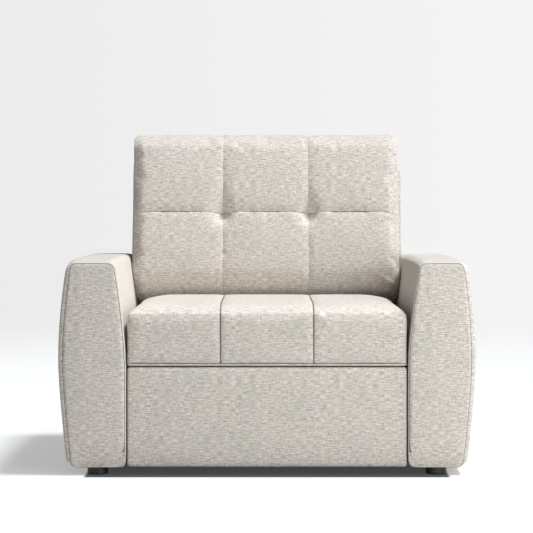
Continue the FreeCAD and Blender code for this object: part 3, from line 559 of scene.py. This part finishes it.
def armInset(z, low, high, shape):  # how far the outer face is drawn in at a height
    widest = low.z + shape["widestHeight"]
    if z >= widest:
        return shape["topInset"] * ((z - widest) / (high.z - widest)) ** shape["topCurve"]
    return shape["bottomInset"] * ((widest - z) / shape["widestHeight"]) ** shape["bottomCurve"]


def armFlare(z, low, high, shape):  # how far the inner face opens out at a height
    start = low.z + shape["flareHeight"]
    if z <= start:
        return 0.0
    return shape["flare"] * ((z - start) / (high.z - start)) ** shape["flareCurve"]


# 1 in the middle of a stretch and 0 at both its ends: a higher square makes it flatter between
def puffOver(share, square):
    return max(0.0, 1 - abs(2 * share - 1) ** square)


# The front panel is slightly padded, and its outer edge is rounder than the others
def shapeArmFront(arm, low, high, shape):
    tight = shape["edgeRadius"] + small
    blend = (shape["outerBlend"] - shape["outerEdge"]) / (shape["outerBlend"] - shape["edgeRadius"])
    for vertex in arm.data.vertices:
        depth = vertex.co.y - low.y
        if depth > tight:
            continue
        outerX = high.x - armInset(vertex.co.z, low, high, shape)
        innerX = low.x + armFlare(vertex.co.z, low, high, shape)
        inFrom = max(0.0, outerX - vertex.co.x)
        across = (vertex.co.x - innerX) / (outerX - innerX)
        up = (vertex.co.z - low.z) / (high.z - low.z)
        if inFrom < tight:
            vertex.co.x = outerX - inFrom * shape["outerEdge"] / shape["edgeRadius"]
            vertex.co.y = low.y + depth * shape["outerDepth"] / shape["edgeRadius"]
        elif inFrom < shape["outerBlend"]:
            vertex.co.x = outerX - shape["outerEdge"] - (inFrom - shape["edgeRadius"]) * blend
        puff = puffOver(across, shape["panelSquare"][0]) * puffOver(up, shape["panelSquare"][1])
        vertex.co.y -= shape["panelSwell"] * puff


# Behind the front seam the padding stands a little proud, on the top and on the outside
def swellArmBody(arm, low, high, shape):
    for vertex in arm.data.vertices:
        along = (vertex.co.y - low.y) / (high.y - low.y)
        full = shape["bodySwell"] * puffOver(along, shape["bodySquare"])
        up = (vertex.co.z - low.z) / (high.z - low.z)
        across = (vertex.co.x - low.x) / (high.x - low.x)
        vertex.co.z += full * max(0.0, 2 * up - 1) ** 2
        vertex.co.x += full * max(0.0, 2 * across - 1) * up


# Both arms are made at the right arm's place, and the left one is then mirrored
def makeArm(side, shape):
    node = "arm_cover_" + side
    low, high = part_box("arm_cover_right")
    arm = addBlock("upholstered_arm_" + side, low, high, shape["cells"])
    for step in range(shape["cells"][2] + 1):
        level = low.z + (high.z - low.z) * step / shape["cells"][2]
        inset = armInset(level, low, high, shape)
        flare = armFlare(level, low, high, shape)
        for vertex in arm.data.vertices:
            if abs(vertex.co.z - level) < tiny:
                share = (vertex.co.x - low.x) / (high.x - low.x)
                vertex.co.x += flare * (1 - share) - inset * share
    topInnerX = low.x + shape["flare"]
    topOuterX = high.x - shape["topInset"]
    lowOuterX = high.x - shape["bottomInset"]

    def longCorner(edge):
        if not runsAlong(arm, edge, 1):
            return False
        at = edgeEnds(arm, edge)[0]
        if abs(at.z - high.z) < small:
            return abs(at.x - topInnerX) < small or abs(at.x - topOuterX) < small
        return abs(at.z - low.z) < small and abs(at.x - lowOuterX) < small

    bevelEdges(arm, longCorner, shape["cornerRadius"], 4)
    bevelRim(arm, lambda f: looks(f, "front"), shape["edgeRadius"], 3)
    bevelRim(arm, lambda f: looks(f, "rear"), shape["rearRadius"], 3)
    sewRound(arm, lambda f: looks(f, "front", 0.99),
             shape["seamMargin"], shape["seamWidth"], shape["seamDepth"])
    floorY = low.y + shape["seamDepth"]
    seamZ = low.z + shape["seamStart"]  # no thread shows along the bottom
    showThreadAndSeamShade(arm, [v.index for v in arm.data.vertices if abs(v.co.y - floorY) < tiny and v.co.z > seamZ])
    shapeArmFront(arm, low, high, shape)
    swellArmBody(arm, low, high, shape)
    recessBase(arm, lambda f: looks(f, "down") and f.center.z < low.z + shape["baseReach"],
               shape["baseMargin"], shape["baseRecess"])
    if side == "left":
        for vertex in arm.data.vertices:
            vertex.co.x = -vertex.co.x
        workOn(arm)
        bpy.ops.object.mode_set(mode="EDIT")
        bpy.ops.mesh.select_all(action="SELECT")
        bpy.ops.mesh.flip_normals()
        leaveEdit()
    finishCloth(arm, shape["levels"], linen)
    dress(arm, "chair", [node])


for side in ("right", "left"):
    makeArm(side, armShape)
print("arms made")

# Seat: one thick block in three equal panels, with a tight front edge and wide soft shoulders
seatShape = {"cells": (72, 48, 14), "panels": 3, "seamWidth": 0.0018, "seamSink": 0.0022,
             "frontRadius": 0.009, "frontDrop": 0.021, "frontReach": 0.150, "sideDrop": 0.028,
             "sideReach": 0.115, "cornerBlend": 4, "sideGap": 0.0015, "rearGap": 0.001,
             "wallGap": 0.0005, "swellRoom": 0.7, "rowLean": 1.14, "baseReach": 0.001,
             "baseMargin": 0.017, "baseRecess": 0.016, "pressure": 4.0, "cap": 0.0022, "levels": 1}


def shoulderDrop(inFrom, reach, drop):  # a quarter ellipse from the edge up to the crown
    share = min(1.0, max(0.0, inFrom / reach))
    return drop * (1 - math.sqrt(1 - (1 - share) ** 2))


def makeSeat(shape):
    low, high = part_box("seat_cushion")
    room = shape["cap"] * shape["swellRoom"]
    start = Vector((low.x + shape["sideGap"], low.y + room, low.z))
    end = Vector((high.x - shape["sideGap"], high.y - shape["rearGap"], high.z - room))
    seat = addBlock("seat_cushion_cover", start, end, shape["cells"])
    cell = (end.x - start.x) / shape["cells"][0]
    seamX = round((end.x - start.x) / (2 * shape["panels"]) / cell) * cell
    borderZ = start.z + (end.z - start.z) / shape["cells"][2]
    bevelRim(seat, lambda f: looks(f, "front"), shape["frontRadius"], 3)

    def onSeam(co):
        shown = co.y < end.y - tiny and co.z > borderZ - tiny
        return abs(abs(co.x) - seamX) < tiny and shown

    def onBorder(co):
        return abs(co.z - borderZ) < tiny and co.y < start.y + shape["frontRadius"] + tiny

    def sewn(edge):
        a, b = edgeEnds(seat, edge)
        return (onSeam(a) and onSeam(b)) or (onBorder(a) and onBorder(b))

    lines = sewAlong(seat, sewn, lambda co: onSeam(co) or onBorder(co), shape["seamWidth"])
    showThreadAndSeamShade(seat, lines)
    frontEdge = start.y + shape["frontRadius"]
    blend = shape["cornerBlend"]
    lowRing = {v.index for v in seat.data.vertices if v.co.z < start.z + tiny or v.co.y > end.y - tiny}

    def place(co):
        front = shoulderDrop(co.y - frontEdge, shape["frontReach"], shape["frontDrop"])
        side = shoulderDrop(end.x - abs(co.x), shape["sideReach"], shape["sideDrop"])
        fall = (front ** blend + side ** blend) ** (1 / blend)
        share = max(0.0, (co.z - start.z) / (end.z - start.z)) ** shape["rowLean"]
        return Vector((co.x, co.y, start.z + (end.z - fall - start.z) * share))

    moveVertices(seat, place)
    sinkVertices(seat, lines, shape["seamSink"])
    fixed = {tuple(seat.data.vertices[i].co) for i in set(lines) | lowRing}
    swell(seat, shape["pressure"], shape["cap"], lambda co: tuple(co) in fixed)
    for vertex in seat.data.vertices:
        vertex.co.x = max(low.x + shape["wallGap"], min(high.x - shape["wallGap"], vertex.co.x))
    recessBase(seat, lambda f: looks(f, "down") and f.center.z < start.z + shape["baseReach"],
               shape["baseMargin"], shape["baseRecess"])
    finishCloth(seat, shape["levels"], linen)
    dress(seat, "seat_section", ["seat_cushion"])


makeSeat(seatShape)
print("seat made")

# Front panel below the seat
panelShape = {"cells": (60, 3, 22), "edgeRadius": 0.007, "swell": 0.0025, "square": (8, 6),
              "sideGap": 0.0015, "levels": 1}


def makeFrontPanel(shape):
    low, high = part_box("front_panel")
    gap = Vector((shape["sideGap"], 0, 0))
    start = low + gap + Vector((0, shape["swell"], 0))
    panel = addBlock("padded_front_panel", start, high - gap, shape["cells"])
    bevelRim(panel, lambda f: looks(f, "front"), shape["edgeRadius"], 3)
    size = high - low

    def place(co):
        if co.y > start.y + shape["edgeRadius"] - small:
            return co
        across = puffOver((co.x - low.x) / size.x, shape["square"][0])
        up = puffOver((co.z - low.z) / size.z, shape["square"][1])
        return co - Vector((0, shape["swell"] * across * up, 0))

    moveVertices(panel, place)
    finishCloth(panel, shape["levels"], linen)
    dress(panel, "seat_section", ["front_panel"])


makeFrontPanel(panelShape)
print("front panel made")

backLean = math.radians(10)  # of the back and of its cushion

# Back cushion: loose, leaning, with two upright seams, one level seam and two tufts.
# Its thickness is given at shares of its height, and its columns and rows crowd towards its edges.
cushionShape = {"cells": (84, 10, 66), "columnCrowd": 0.25, "rowCrowd": 0.5, "seamX": 0.131, "seamZ": 0.729,
                "thickness": [(0.0, 0.120), (0.06, 0.166), (0.16, 0.198), (0.3, 0.203), (0.5, 0.194),
                              (0.72, 0.180), (0.92, 0.158), (1.0, 0.138)],
                "upperHalfWidth": 0.4125, "shift": 0.0042, "sideGap": 0.003, "rearGap": 0.0005,
                "edgeRadius": 0.028, "topRadius": 0.030, "rearRadius": 0.012, "cornerRadius": 0.011,
                "earRise": 0.005, "earWidth": 0.007, "seamWidth": 0.0010, "levelSink": 0.0014,
                "uprightSink": 0.0008, "panelSwell": 0.005, "panelSquare": 2.6, "tuftSink": 0.014,
                "tuftReach": 0.028, "creaseSink": 0.013, "creaseWidth": 0.019, "creaseUp": 0.070,
                "creaseDown": 0.030, "tuftDrop": 0.007, "tuftDropWidth": 0.035, "endDrop": 0.011,
                "endDropFrom": 0.330, "dropFade": 0.060, "pressure": 4.0, "slack": 0.02, "cap": 0.003,
                "levels": 1}

# Small folds where the fullness is taken up near the bottom corners: x, z, turn in degrees
cornerFolds = {"places": [(0.372, 0.509, -32.0), (-0.380, 0.505, 40.0)],
               "length": 0.022, "width": 0.007, "depth": 0.009}


# Half the width at a height, and how far the cushion can lie off centre there
def halfWidthAt(z, shape, armLow, armHigh):
    if z >= armHigh.z:
        return shape["upperHalfWidth"], shape["shift"]
    between = armLow.x + armFlare(z, armLow, armHigh, armShape) - shape["sideGap"]
    half = min(between, shape["upperHalfWidth"])
    return half, min(shape["shift"], between - half)


def panelPuff(place, lines, square):  # 0 on each seam and 1 in the middle of each panel
    for low, high in zip(lines, lines[1:]):
        if place <= high or high == lines[-1]:
            return puffOver(min(1.0, max(0.0, (place - low) / (high - low))), square)


# How far the tufts draw the front in, each with a crease above and below it
def tuftPull(x, z, tufts, shape):
    pull = 0.0
    for tuftX, tuftZ in tufts:
        pull += shape["tuftSink"] * bell(math.hypot(x - tuftX, z - tuftZ), shape["tuftReach"])
        reach = shape["creaseUp"] if z > tuftZ else shape["creaseDown"]
        pull += shape["creaseSink"] * bell(x - tuftX, shape["creaseWidth"]) * bell(z - tuftZ, reach)
    return pull


# A fold is a ridge with a furrow beside it
def foldPull(x, z, folds):
    pull = 0.0
    for foldX, foldZ, turn in folds["places"]:
        angle = math.radians(turn)
        along = (x - foldX) * math.cos(angle) + (z - foldZ) * math.sin(angle)
        across = (z - foldZ) * math.cos(angle) - (x - foldX) * math.sin(angle)
        width = folds["width"]
        ridge = bell(across - width, width) - bell(across + width, width)
        pull -= folds["depth"] * ridge * bell(along, folds["length"])
    return pull


def makeBackCushion(shape):
    low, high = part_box("back_cushion")
    armLow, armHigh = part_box("arm_cover_right")
    rise = high.z - low.z
    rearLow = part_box("back_cover")[0].y - shape["rearGap"]
    cellsX, cellsZ = shape["cells"][0], shape["cells"][2]
    cushion = addBlock("back_cushion_cover", (-1, 0, 0), (1, 1, 1), shape["cells"])

    def spreadX(u):  # columns lie closer together towards the sides
        return u * (1 + shape["columnCrowd"] - shape["columnCrowd"] * u * u)

    def spreadZ(w):  # rows lie closer together towards the top and the bottom
        return w - shape["rowCrowd"] * math.sin(2 * math.pi * w) / (2 * math.pi)

    columns = [i * 2 / cellsX for i in range(cellsX // 2)]
    rows = [i / cellsZ for i in range(cellsZ)]
    seamU = min(columns, key=lambda u: abs(spreadX(u) * shape["upperHalfWidth"] - shape["seamX"]))
    seamW = min(rows, key=lambda w: abs(low.z + rise * spreadZ(w) - shape["seamZ"]))
    seamX = spreadX(seamU) * shape["upperHalfWidth"]
    seamZ = low.z + rise * spreadZ(seamW)

    def onUpright(co):
        return co.y < tiny and abs(abs(co.x) - seamU) < tiny

    def onLevel(co):
        return co.y < tiny and abs(co.z - seamW) < tiny

    def sewn(edge):
        a, b = edgeEnds(cushion, edge)
        return (onUpright(a) and onUpright(b)) or (onLevel(a) and onLevel(b))

    seamWidth = shape["seamWidth"] / shape["upperHalfWidth"]  # the block is still of unit size
    lines = sewAlong(cushion, sewn, lambda co: onUpright(co) or onLevel(co), seamWidth)
    unit = [v.co.copy() for v in cushion.data.vertices]
    level = [i for i in lines if onLevel(unit[i])]
    showThreadAndSeamShade(cushion, level)
    upright = [i for i in lines if not onLevel(unit[i])]
    tufts = [(side * seamX, seamZ) for side in (-1, 1)]

    def place(co):
        front = 1 - co.y
        z = low.z + rise * spreadZ(co.z)
        nearTop = z - (high.z - shape["cornerRadius"])
        half, room = halfWidthAt(z, shape, armLow, armHigh)
        half -= roundFall(nearTop, shape["cornerRadius"])
        spread = spreadX(co.x)
        x = spread * half
        rear = rearLow + (z - low.z) * math.tan(backLean)
        sideReach = abs(x) - (half - shape["edgeRadius"])
        topReach = z - (high.z - shape["topRadius"])
        fall = boxedFall(sideReach, shape["edgeRadius"]) + boxedFall(topReach, shape["topRadius"])
        rearReach = abs(x) - (half - shape["rearRadius"])
        rear -= roundFall(rearReach, shape["rearRadius"])
        puff = panelPuff(x, (-half, -seamX, seamX, half), shape["panelSquare"])
        puff *= panelPuff(z, (low.z, seamZ, high.z), shape["panelSquare"])
        thick = readCurve(shape["thickness"], spreadZ(co.z)) + shape["panelSwell"] * (puff - 0.5)
        thick -= fall + tuftPull(x, z, tufts, shape) + foldPull(x, z, cornerFolds)
        drop = shape["tuftDrop"] * bell(abs(x) - seamX, shape["tuftDropWidth"])
        pastEnd = max(0.0, (abs(x) - shape["endDropFrom"]) / (half - shape["endDropFrom"]))
        drop += shape["endDrop"] * pastEnd ** 2
        ear = shape["earRise"] * bell(half - shape["cornerRadius"] - abs(x), shape["earWidth"])
        ear *= bell(high.z - z, shape["earWidth"])
        moved = x - shape["shift"] * (1 - spread * spread) - room * spread * spread
        drop *= bell(z - seamZ, shape["dropFade"]) * front
        return Vector((moved, rear - thick * front, z - drop + ear))

    moveVertices(cushion, place)
    sinkVertices(cushion, level, shape["levelSink"])
    sinkVertices(cushion, upright, shape["uprightSink"])
    resting = [i for i, co in enumerate(unit) if co.y > 1 - tiny or co.z < tiny]
    fixed = {tuple(cushion.data.vertices[i].co) for i in lines + resting}
    swell(cushion, shape["pressure"], shape["cap"], lambda co: tuple(co) in fixed, shape["slack"])
    finishCloth(cushion, shape["levels"], linen)
    dress(cushion, "back_cushion_body", ["back_cushion"])


makeBackCushion(cushionShape)
print("back cushion made")

# Cover of the fixed back: a leaning front, an upright rear, open below between its two walls
backShape = {"cells": (36, 3, 16), "wall": 0.014, "sideWall": 0.020, "topWall": 0.020, "sideGap": 0.0005,
             "underGap": 0.001, "overGap": 0.0005, "rowsToArmTop": 6, "lowRows": 8, "cornerRadius": 0.009,
             "lowRadius": 0.004, "edgeDrift": 0.020, "edgeReach": 0.002, "levels": 1}


def makeBackCover(shape):
    low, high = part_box("back_cover")
    armLow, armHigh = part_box("arm_cover_right")
    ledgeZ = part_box("back_ledge_rail")[1].z
    cover = addBlock("fixed_back_cover", (-1, 0, 0), (1, 3, shape["cells"][2]), shape["cells"])
    rows = shape["rowsToArmTop"]  # above them the cover widens over the arms
    levels = [ledgeZ + (armHigh.z - ledgeZ) * i / rows for i in range(rows)]
    levels += [armHigh.z - shape["underGap"], armHigh.z + shape["overGap"]]
    above = shape["cells"][2] - len(levels) + 1
    levels += [levels[-1] + (high.z - levels[-1]) * (i + 1) / above for i in range(above)]

    def place(co):
        z = levels[round(co.z)]
        if z > armHigh.z:
            half = high.x
        else:
            half = armLow.x + armFlare(z, armLow, armHigh, armShape) - shape["sideGap"]
        frontY = low.y + (z - ledgeZ) * math.tan(backLean)
        depths = [frontY, frontY + shape["wall"], high.y - shape["wall"], high.y]
        return Vector((co.x * half, depths[round(co.y)], z))

    moveVertices(cover, place)
    wallY = high.y - shape["wall"]
    # the rear wall goes on down behind the bed
    pick(cover, "FACE", lambda f: looks(f, "down") and f.center.y > wallY)
    for _ in range(shape["lowRows"]):
        bpy.ops.mesh.extrude_region_move(
            TRANSFORM_OT_translate={"value": (0, 0, (low.z - ledgeZ) / shape["lowRows"])})
    leaveEdit()
    # between the two walls the cover is hollow
    middleY = low.y + shape["wall"]
    innerEnd = armLow.x - shape["sideWall"]
    pick(cover, "FACE", lambda f: looks(f, "down") and middleY < f.center.y < wallY
         and abs(f.center.x) < innerEnd)
    bpy.ops.mesh.extrude_region_move(
        TRANSFORM_OT_translate={"value": (0, 0, armHigh.z - ledgeZ - shape["topWall"])})
    leaveEdit()

    def outerCorner(edge):  # the rear corners above the arms and the sides and rear of the top
        a, b = edgeEnds(cover, edge)
        outside = abs(abs(a.x) - high.x) < small and abs(abs(b.x) - high.x) < small
        rear = abs(a.y - high.y) < small and abs(b.y - high.y) < small
        top = abs(a.z - high.z) < small and abs(b.z - high.z) < small
        return (outside and rear and not top) or (top and (outside or rear))

    bevelEdges(cover, outerCorner, shape["cornerRadius"], 3)

    def lowEdge(edge):  # the rear outline between the arms and along the bottom
        a, b = edgeEnds(cover, edge)
        if min(a.y, b.y) < high.y - small or max(a.z, b.z) > armHigh.z - shape["overGap"]:
            return False
        side = min(abs(a.x), abs(b.x)) > armLow.x - shape["edgeReach"]
        return max(a.z, b.z) < low.z + small or (side and abs(a.x - b.x) < shape["edgeDrift"])

    bevelEdges(cover, lowEdge, shape["lowRadius"], 2)
    finishCloth(cover, shape["levels"], linen)
    dress(cover, "chair", ["back_cover"])


makeBackCover(backShape)
print("back cover made")

# Mattresses: foam slabs in a box-quilted knitted cover with a taped edge
mattressShape = {"quiltPitch": 0.113, "cellsPerQuilt": 8, "sideCells": 6, "edgeRadius": 0.016,
                 "lineSink": 0.006, "lineWidth": 0.010, "tapeRise": 0.0022, "tapeSlant": (0.5, 0.85),
                 "room": 0.002, "levels": 1}


def makeMattress(section, shape):
    node = section + "_mattress"
    low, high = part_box(node)
    room = Vector((shape["room"],) * 3)
    start = low + room
    end = high - room
    size = end - start
    quilts = [max(1, round(size[axis] / shape["quiltPitch"])) for axis in (0, 1)]
    cells = [count * shape["cellsPerQuilt"] for count in quilts] + [shape["sideCells"]]
    slab = addBlock("quilted_" + node, start, end, cells)
    for way in ("up", "down"):
        bevelRim(slab, lambda f: looks(f, way), shape["edgeRadius"], 3)
    # the tape is the middle strip of each rounded edge
    least, most = shape["tapeSlant"]
    pick(slab, "FACE", lambda f: least < abs(f.normal.z) < most)
    bpy.ops.mesh.extrude_region_shrink_fatten(TRANSFORM_OT_shrink_fatten={"value": shape["tapeRise"]})
    leaveEdit()
    pitch = [size[axis] / quilts[axis] for axis in (0, 1)]

    def sunk(co, axis):  # how deep the quilting lines across an axis draw a point in
        steps = (co[axis] - start[axis]) / pitch[axis]
        return shape["lineSink"] * bell(abs(steps - round(steps)) * pitch[axis], shape["lineWidth"])

    def place(co):
        flat = min(co.x - start.x, end.x - co.x, co.y - start.y, end.y - co.y)
        top = co.z > end.z - small
        if flat > shape["edgeRadius"] - small and (top or co.z < start.z + small):
            sink = max(sunk(co, 0), sunk(co, 1))
            co.z += -sink if top else sink
        return co

    moveVertices(slab, place)
    finishCloth(slab, shape["levels"], ticking)
    dress(slab, section + "_section", [node])


for section in ("head", "middle"):
    makeMattress(section, mattressShape)
print("mattresses made")

# Each rigid piece keeps its own shape and gets the finish of its material
finishes = {"black_plastic": mouldedPlastic, "plywood": birchPlywood, "hardwood": beechWood,
            "slat_wood": slatWood, "frame_steel": coatedSteel, "zinc_steel": zincSteel,
            "grey_rubber": greyRubber, "webbing": elasticWebbing}
for part in frame["record"]["subparts"]:
    finish = finishes.get(part["material_slot"])
    if finish is not None:
        for materialSlot in frame["nodes"][part["node"]].material_slots:
            materialSlot.material = finish
print("rigid pieces finished")

# Studio: pale floor that runs into the background, a soft key light from above on the right,
# a weaker lamp in front and a low fill
# The floor under the chair carries a painted shadow: its half sizes, dark colour, dim glow and soft edge are
# given here
studio = {"floorColour": "#b4b4b4", "paleGlow": 0.38, "background": (0.838, 0.912), "backgroundReach": 0.13,
          "floorSize": 60.0, "fadeFrom": 1.5, "fadeTo": 7.0, "fadeSide": 1.7, "paintedShadowHalfSize": (0.50, 0.530),
          "paintedShadowColour": "#101010", "paintedShadowGlow": 0.052, "paintedShadowEdgeFade": 0.012, "fill": 0.205,
          "fillSlope": 0.20, "keyStrength": 3.95, "keyAngle": 12.0, "keyColour": (0.94, 0.97, 1.0),
          "keyFrom": (0.41, -0.04, 1.0), "frontPower": 32.0, "frontPlace": (1.3, -2.5, 0.9),
          "frontAim": (0, 0, 0.4), "frontSize": 1.2}


# Rays from the camera, mirrors and glass see the pale studio, and all others the dimmer fill
def shownRays(tree):
    path = addNode(tree, "ShaderNodeLightPath")
    either = addNode(tree, "ShaderNodeMath", {"operation": "MAXIMUM"},
                     {0: path.outputs["Is Camera Ray"], 1: path.outputs["Is Glossy Ray"]}).outputs[0]
    return addNode(tree, "ShaderNodeMath", {"operation": "MAXIMUM"},
                   {0: either, 1: path.outputs["Is Transmission Ray"]}).outputs[0]


# The background's strength, from its left tone to its right one
def backdropTone(tree, across, reach, tones):
    return addNode(tree, "ShaderNodeMapRange", None,
                   {"Value": across, "From Min": -reach, "From Max": reach,
                    "To Min": tones[0], "To Max": tones[1]}).outputs[0]


def makeFloor(look):
    clearSelection()
    bpy.ops.mesh.primitive_plane_add(size=look["floorSize"], location=(0, 0, 0))
    floor = bpy.context.object
    floor.name = "floor"
    material, tree, shader = newMaterial("matt_pale_floor", {"roughness": 1.0})
    place = addNode(tree, "ShaderNodeTexCoord").outputs["Object"]
    split = addNode(tree, "ShaderNodeSeparateXYZ", None, {"Vector": place})
    # under the chair, and a little past its edges, the floor is painted dark with a dim glow: a painted
    # shadow
    past = []
    for axis, half in zip("XY", look["paintedShadowHalfSize"]):
        reach = addNode(tree, "ShaderNodeMath", {"operation": "ABSOLUTE"},
                        {0: split.outputs[axis]}).outputs[0]
        past.append(addNode(tree, "ShaderNodeMath", {"operation": "SUBTRACT"},
                            {0: reach, 1: half}).outputs[0])
    outside = addNode(tree, "ShaderNodeMath", {"operation": "MAXIMUM"}, {0: past[0], 1: past[1]}).outputs[0]
    clear = addNode(tree, "ShaderNodeMapRange", {"interpolation_type": "SMOOTHSTEP"},
                    {"Value": outside, "From Min": 0.0, "From Max": look["paintedShadowEdgeFade"]}).outputs[0]
    colour = addNode(tree, "ShaderNodeMix", {"data_type": "RGBA"},
                     {0: clear, 6: linear(look["paintedShadowColour"]), 7: linear(look["floorColour"])}).outputs[2]
    tree.links.new(colour, shader.inputs["Base Color"])
    glow = addNode(tree, "ShaderNodeMix", {"data_type": "FLOAT"},
                   {0: clear, 2: look["paintedShadowGlow"], 3: look["paleGlow"]}).outputs[0]
    path = shownRays(tree)
    seen = addNode(tree, "ShaderNodeMath", {"operation": "MULTIPLY"}, {0: glow, 1: path}).outputs[0]
    shader.inputs["Emission Color"].default_value = (1, 1, 1, 1)
    tree.links.new(seen, shader.inputs["Emission Strength"])
    # far off, the floor turns into the background
    away = addNode(tree, "ShaderNodeVectorMath", {"operation": "LENGTH"}, {0: place}).outputs["Value"]
    far = addNode(tree, "ShaderNodeMapRange", {"interpolation_type": "SMOOTHSTEP"},
                  {"Value": away, "From Min": look["fadeFrom"], "From Max": look["fadeTo"]}).outputs[0]
    fade = addNode(tree, "ShaderNodeMath", {"operation": "MULTIPLY"}, {0: far, 1: path}).outputs[0]
    tone = backdropTone(tree, split.outputs["X"], look["fadeSide"], look["background"])
    backdrop = addNode(tree, "ShaderNodeEmission", None, {"Strength": tone}).outputs[0]
    both = addNode(tree, "ShaderNodeMixShader", None,
                   {0: fade, 1: shader.outputs[0], 2: backdrop}).outputs[0]
    tree.links.new(both, tree.nodes["Material Output"].inputs["Surface"])
    floor.data.materials.append(material)


def aim(lamp, direction):  # the direction runs from what it lights to the lamp
    lamp.rotation_euler = Vector(direction).to_track_quat("Z", "Y").to_euler()


def addLights(look):
    world = bpy.data.worlds.new("studio")
    bpy.context.scene.world = world
    world.use_nodes = True
    tree = world.node_tree
    background = tree.nodes["Background"]
    background.inputs["Color"].default_value = (1, 1, 1, 1)
    # the fill comes more from the right than from the left
    sky = addNode(tree, "ShaderNodeTexCoord").outputs["Generated"]
    side = addNode(tree, "ShaderNodeSeparateXYZ", None, {"Vector": sky}).outputs["X"]
    fill = addNode(tree, "ShaderNodeMath", {"operation": "MULTIPLY_ADD"},
                   {0: side, 1: look["fillSlope"], 2: look["fill"]}).outputs[0]
    tone = backdropTone(tree, side, look["backgroundReach"], look["background"])
    strength = addNode(tree, "ShaderNodeMix", {"data_type": "FLOAT"},
                       {0: shownRays(tree), 2: fill, 3: tone}).outputs[0]
    tree.links.new(strength, background.inputs["Strength"])
    key = bpy.data.objects.new("key", bpy.data.lights.new("key", "SUN"))
    key.data.energy = look["keyStrength"]
    key.data.color = look["keyColour"]
    key.data.angle = math.radians(look["keyAngle"])
    aim(key, look["keyFrom"])
    bpy.context.collection.objects.link(key)
    front = bpy.data.objects.new("front", bpy.data.lights.new("front", "AREA"))
    front.data.energy = look["frontPower"]
    front.data.size = look["frontSize"]
    front.location = look["frontPlace"]
    aim(front, Vector(look["frontPlace"]) - Vector(look["frontAim"]))
    bpy.context.collection.objects.link(front)


makeFloor(studio)
addLights(studio)
print("studio lit")

leaveEdit()
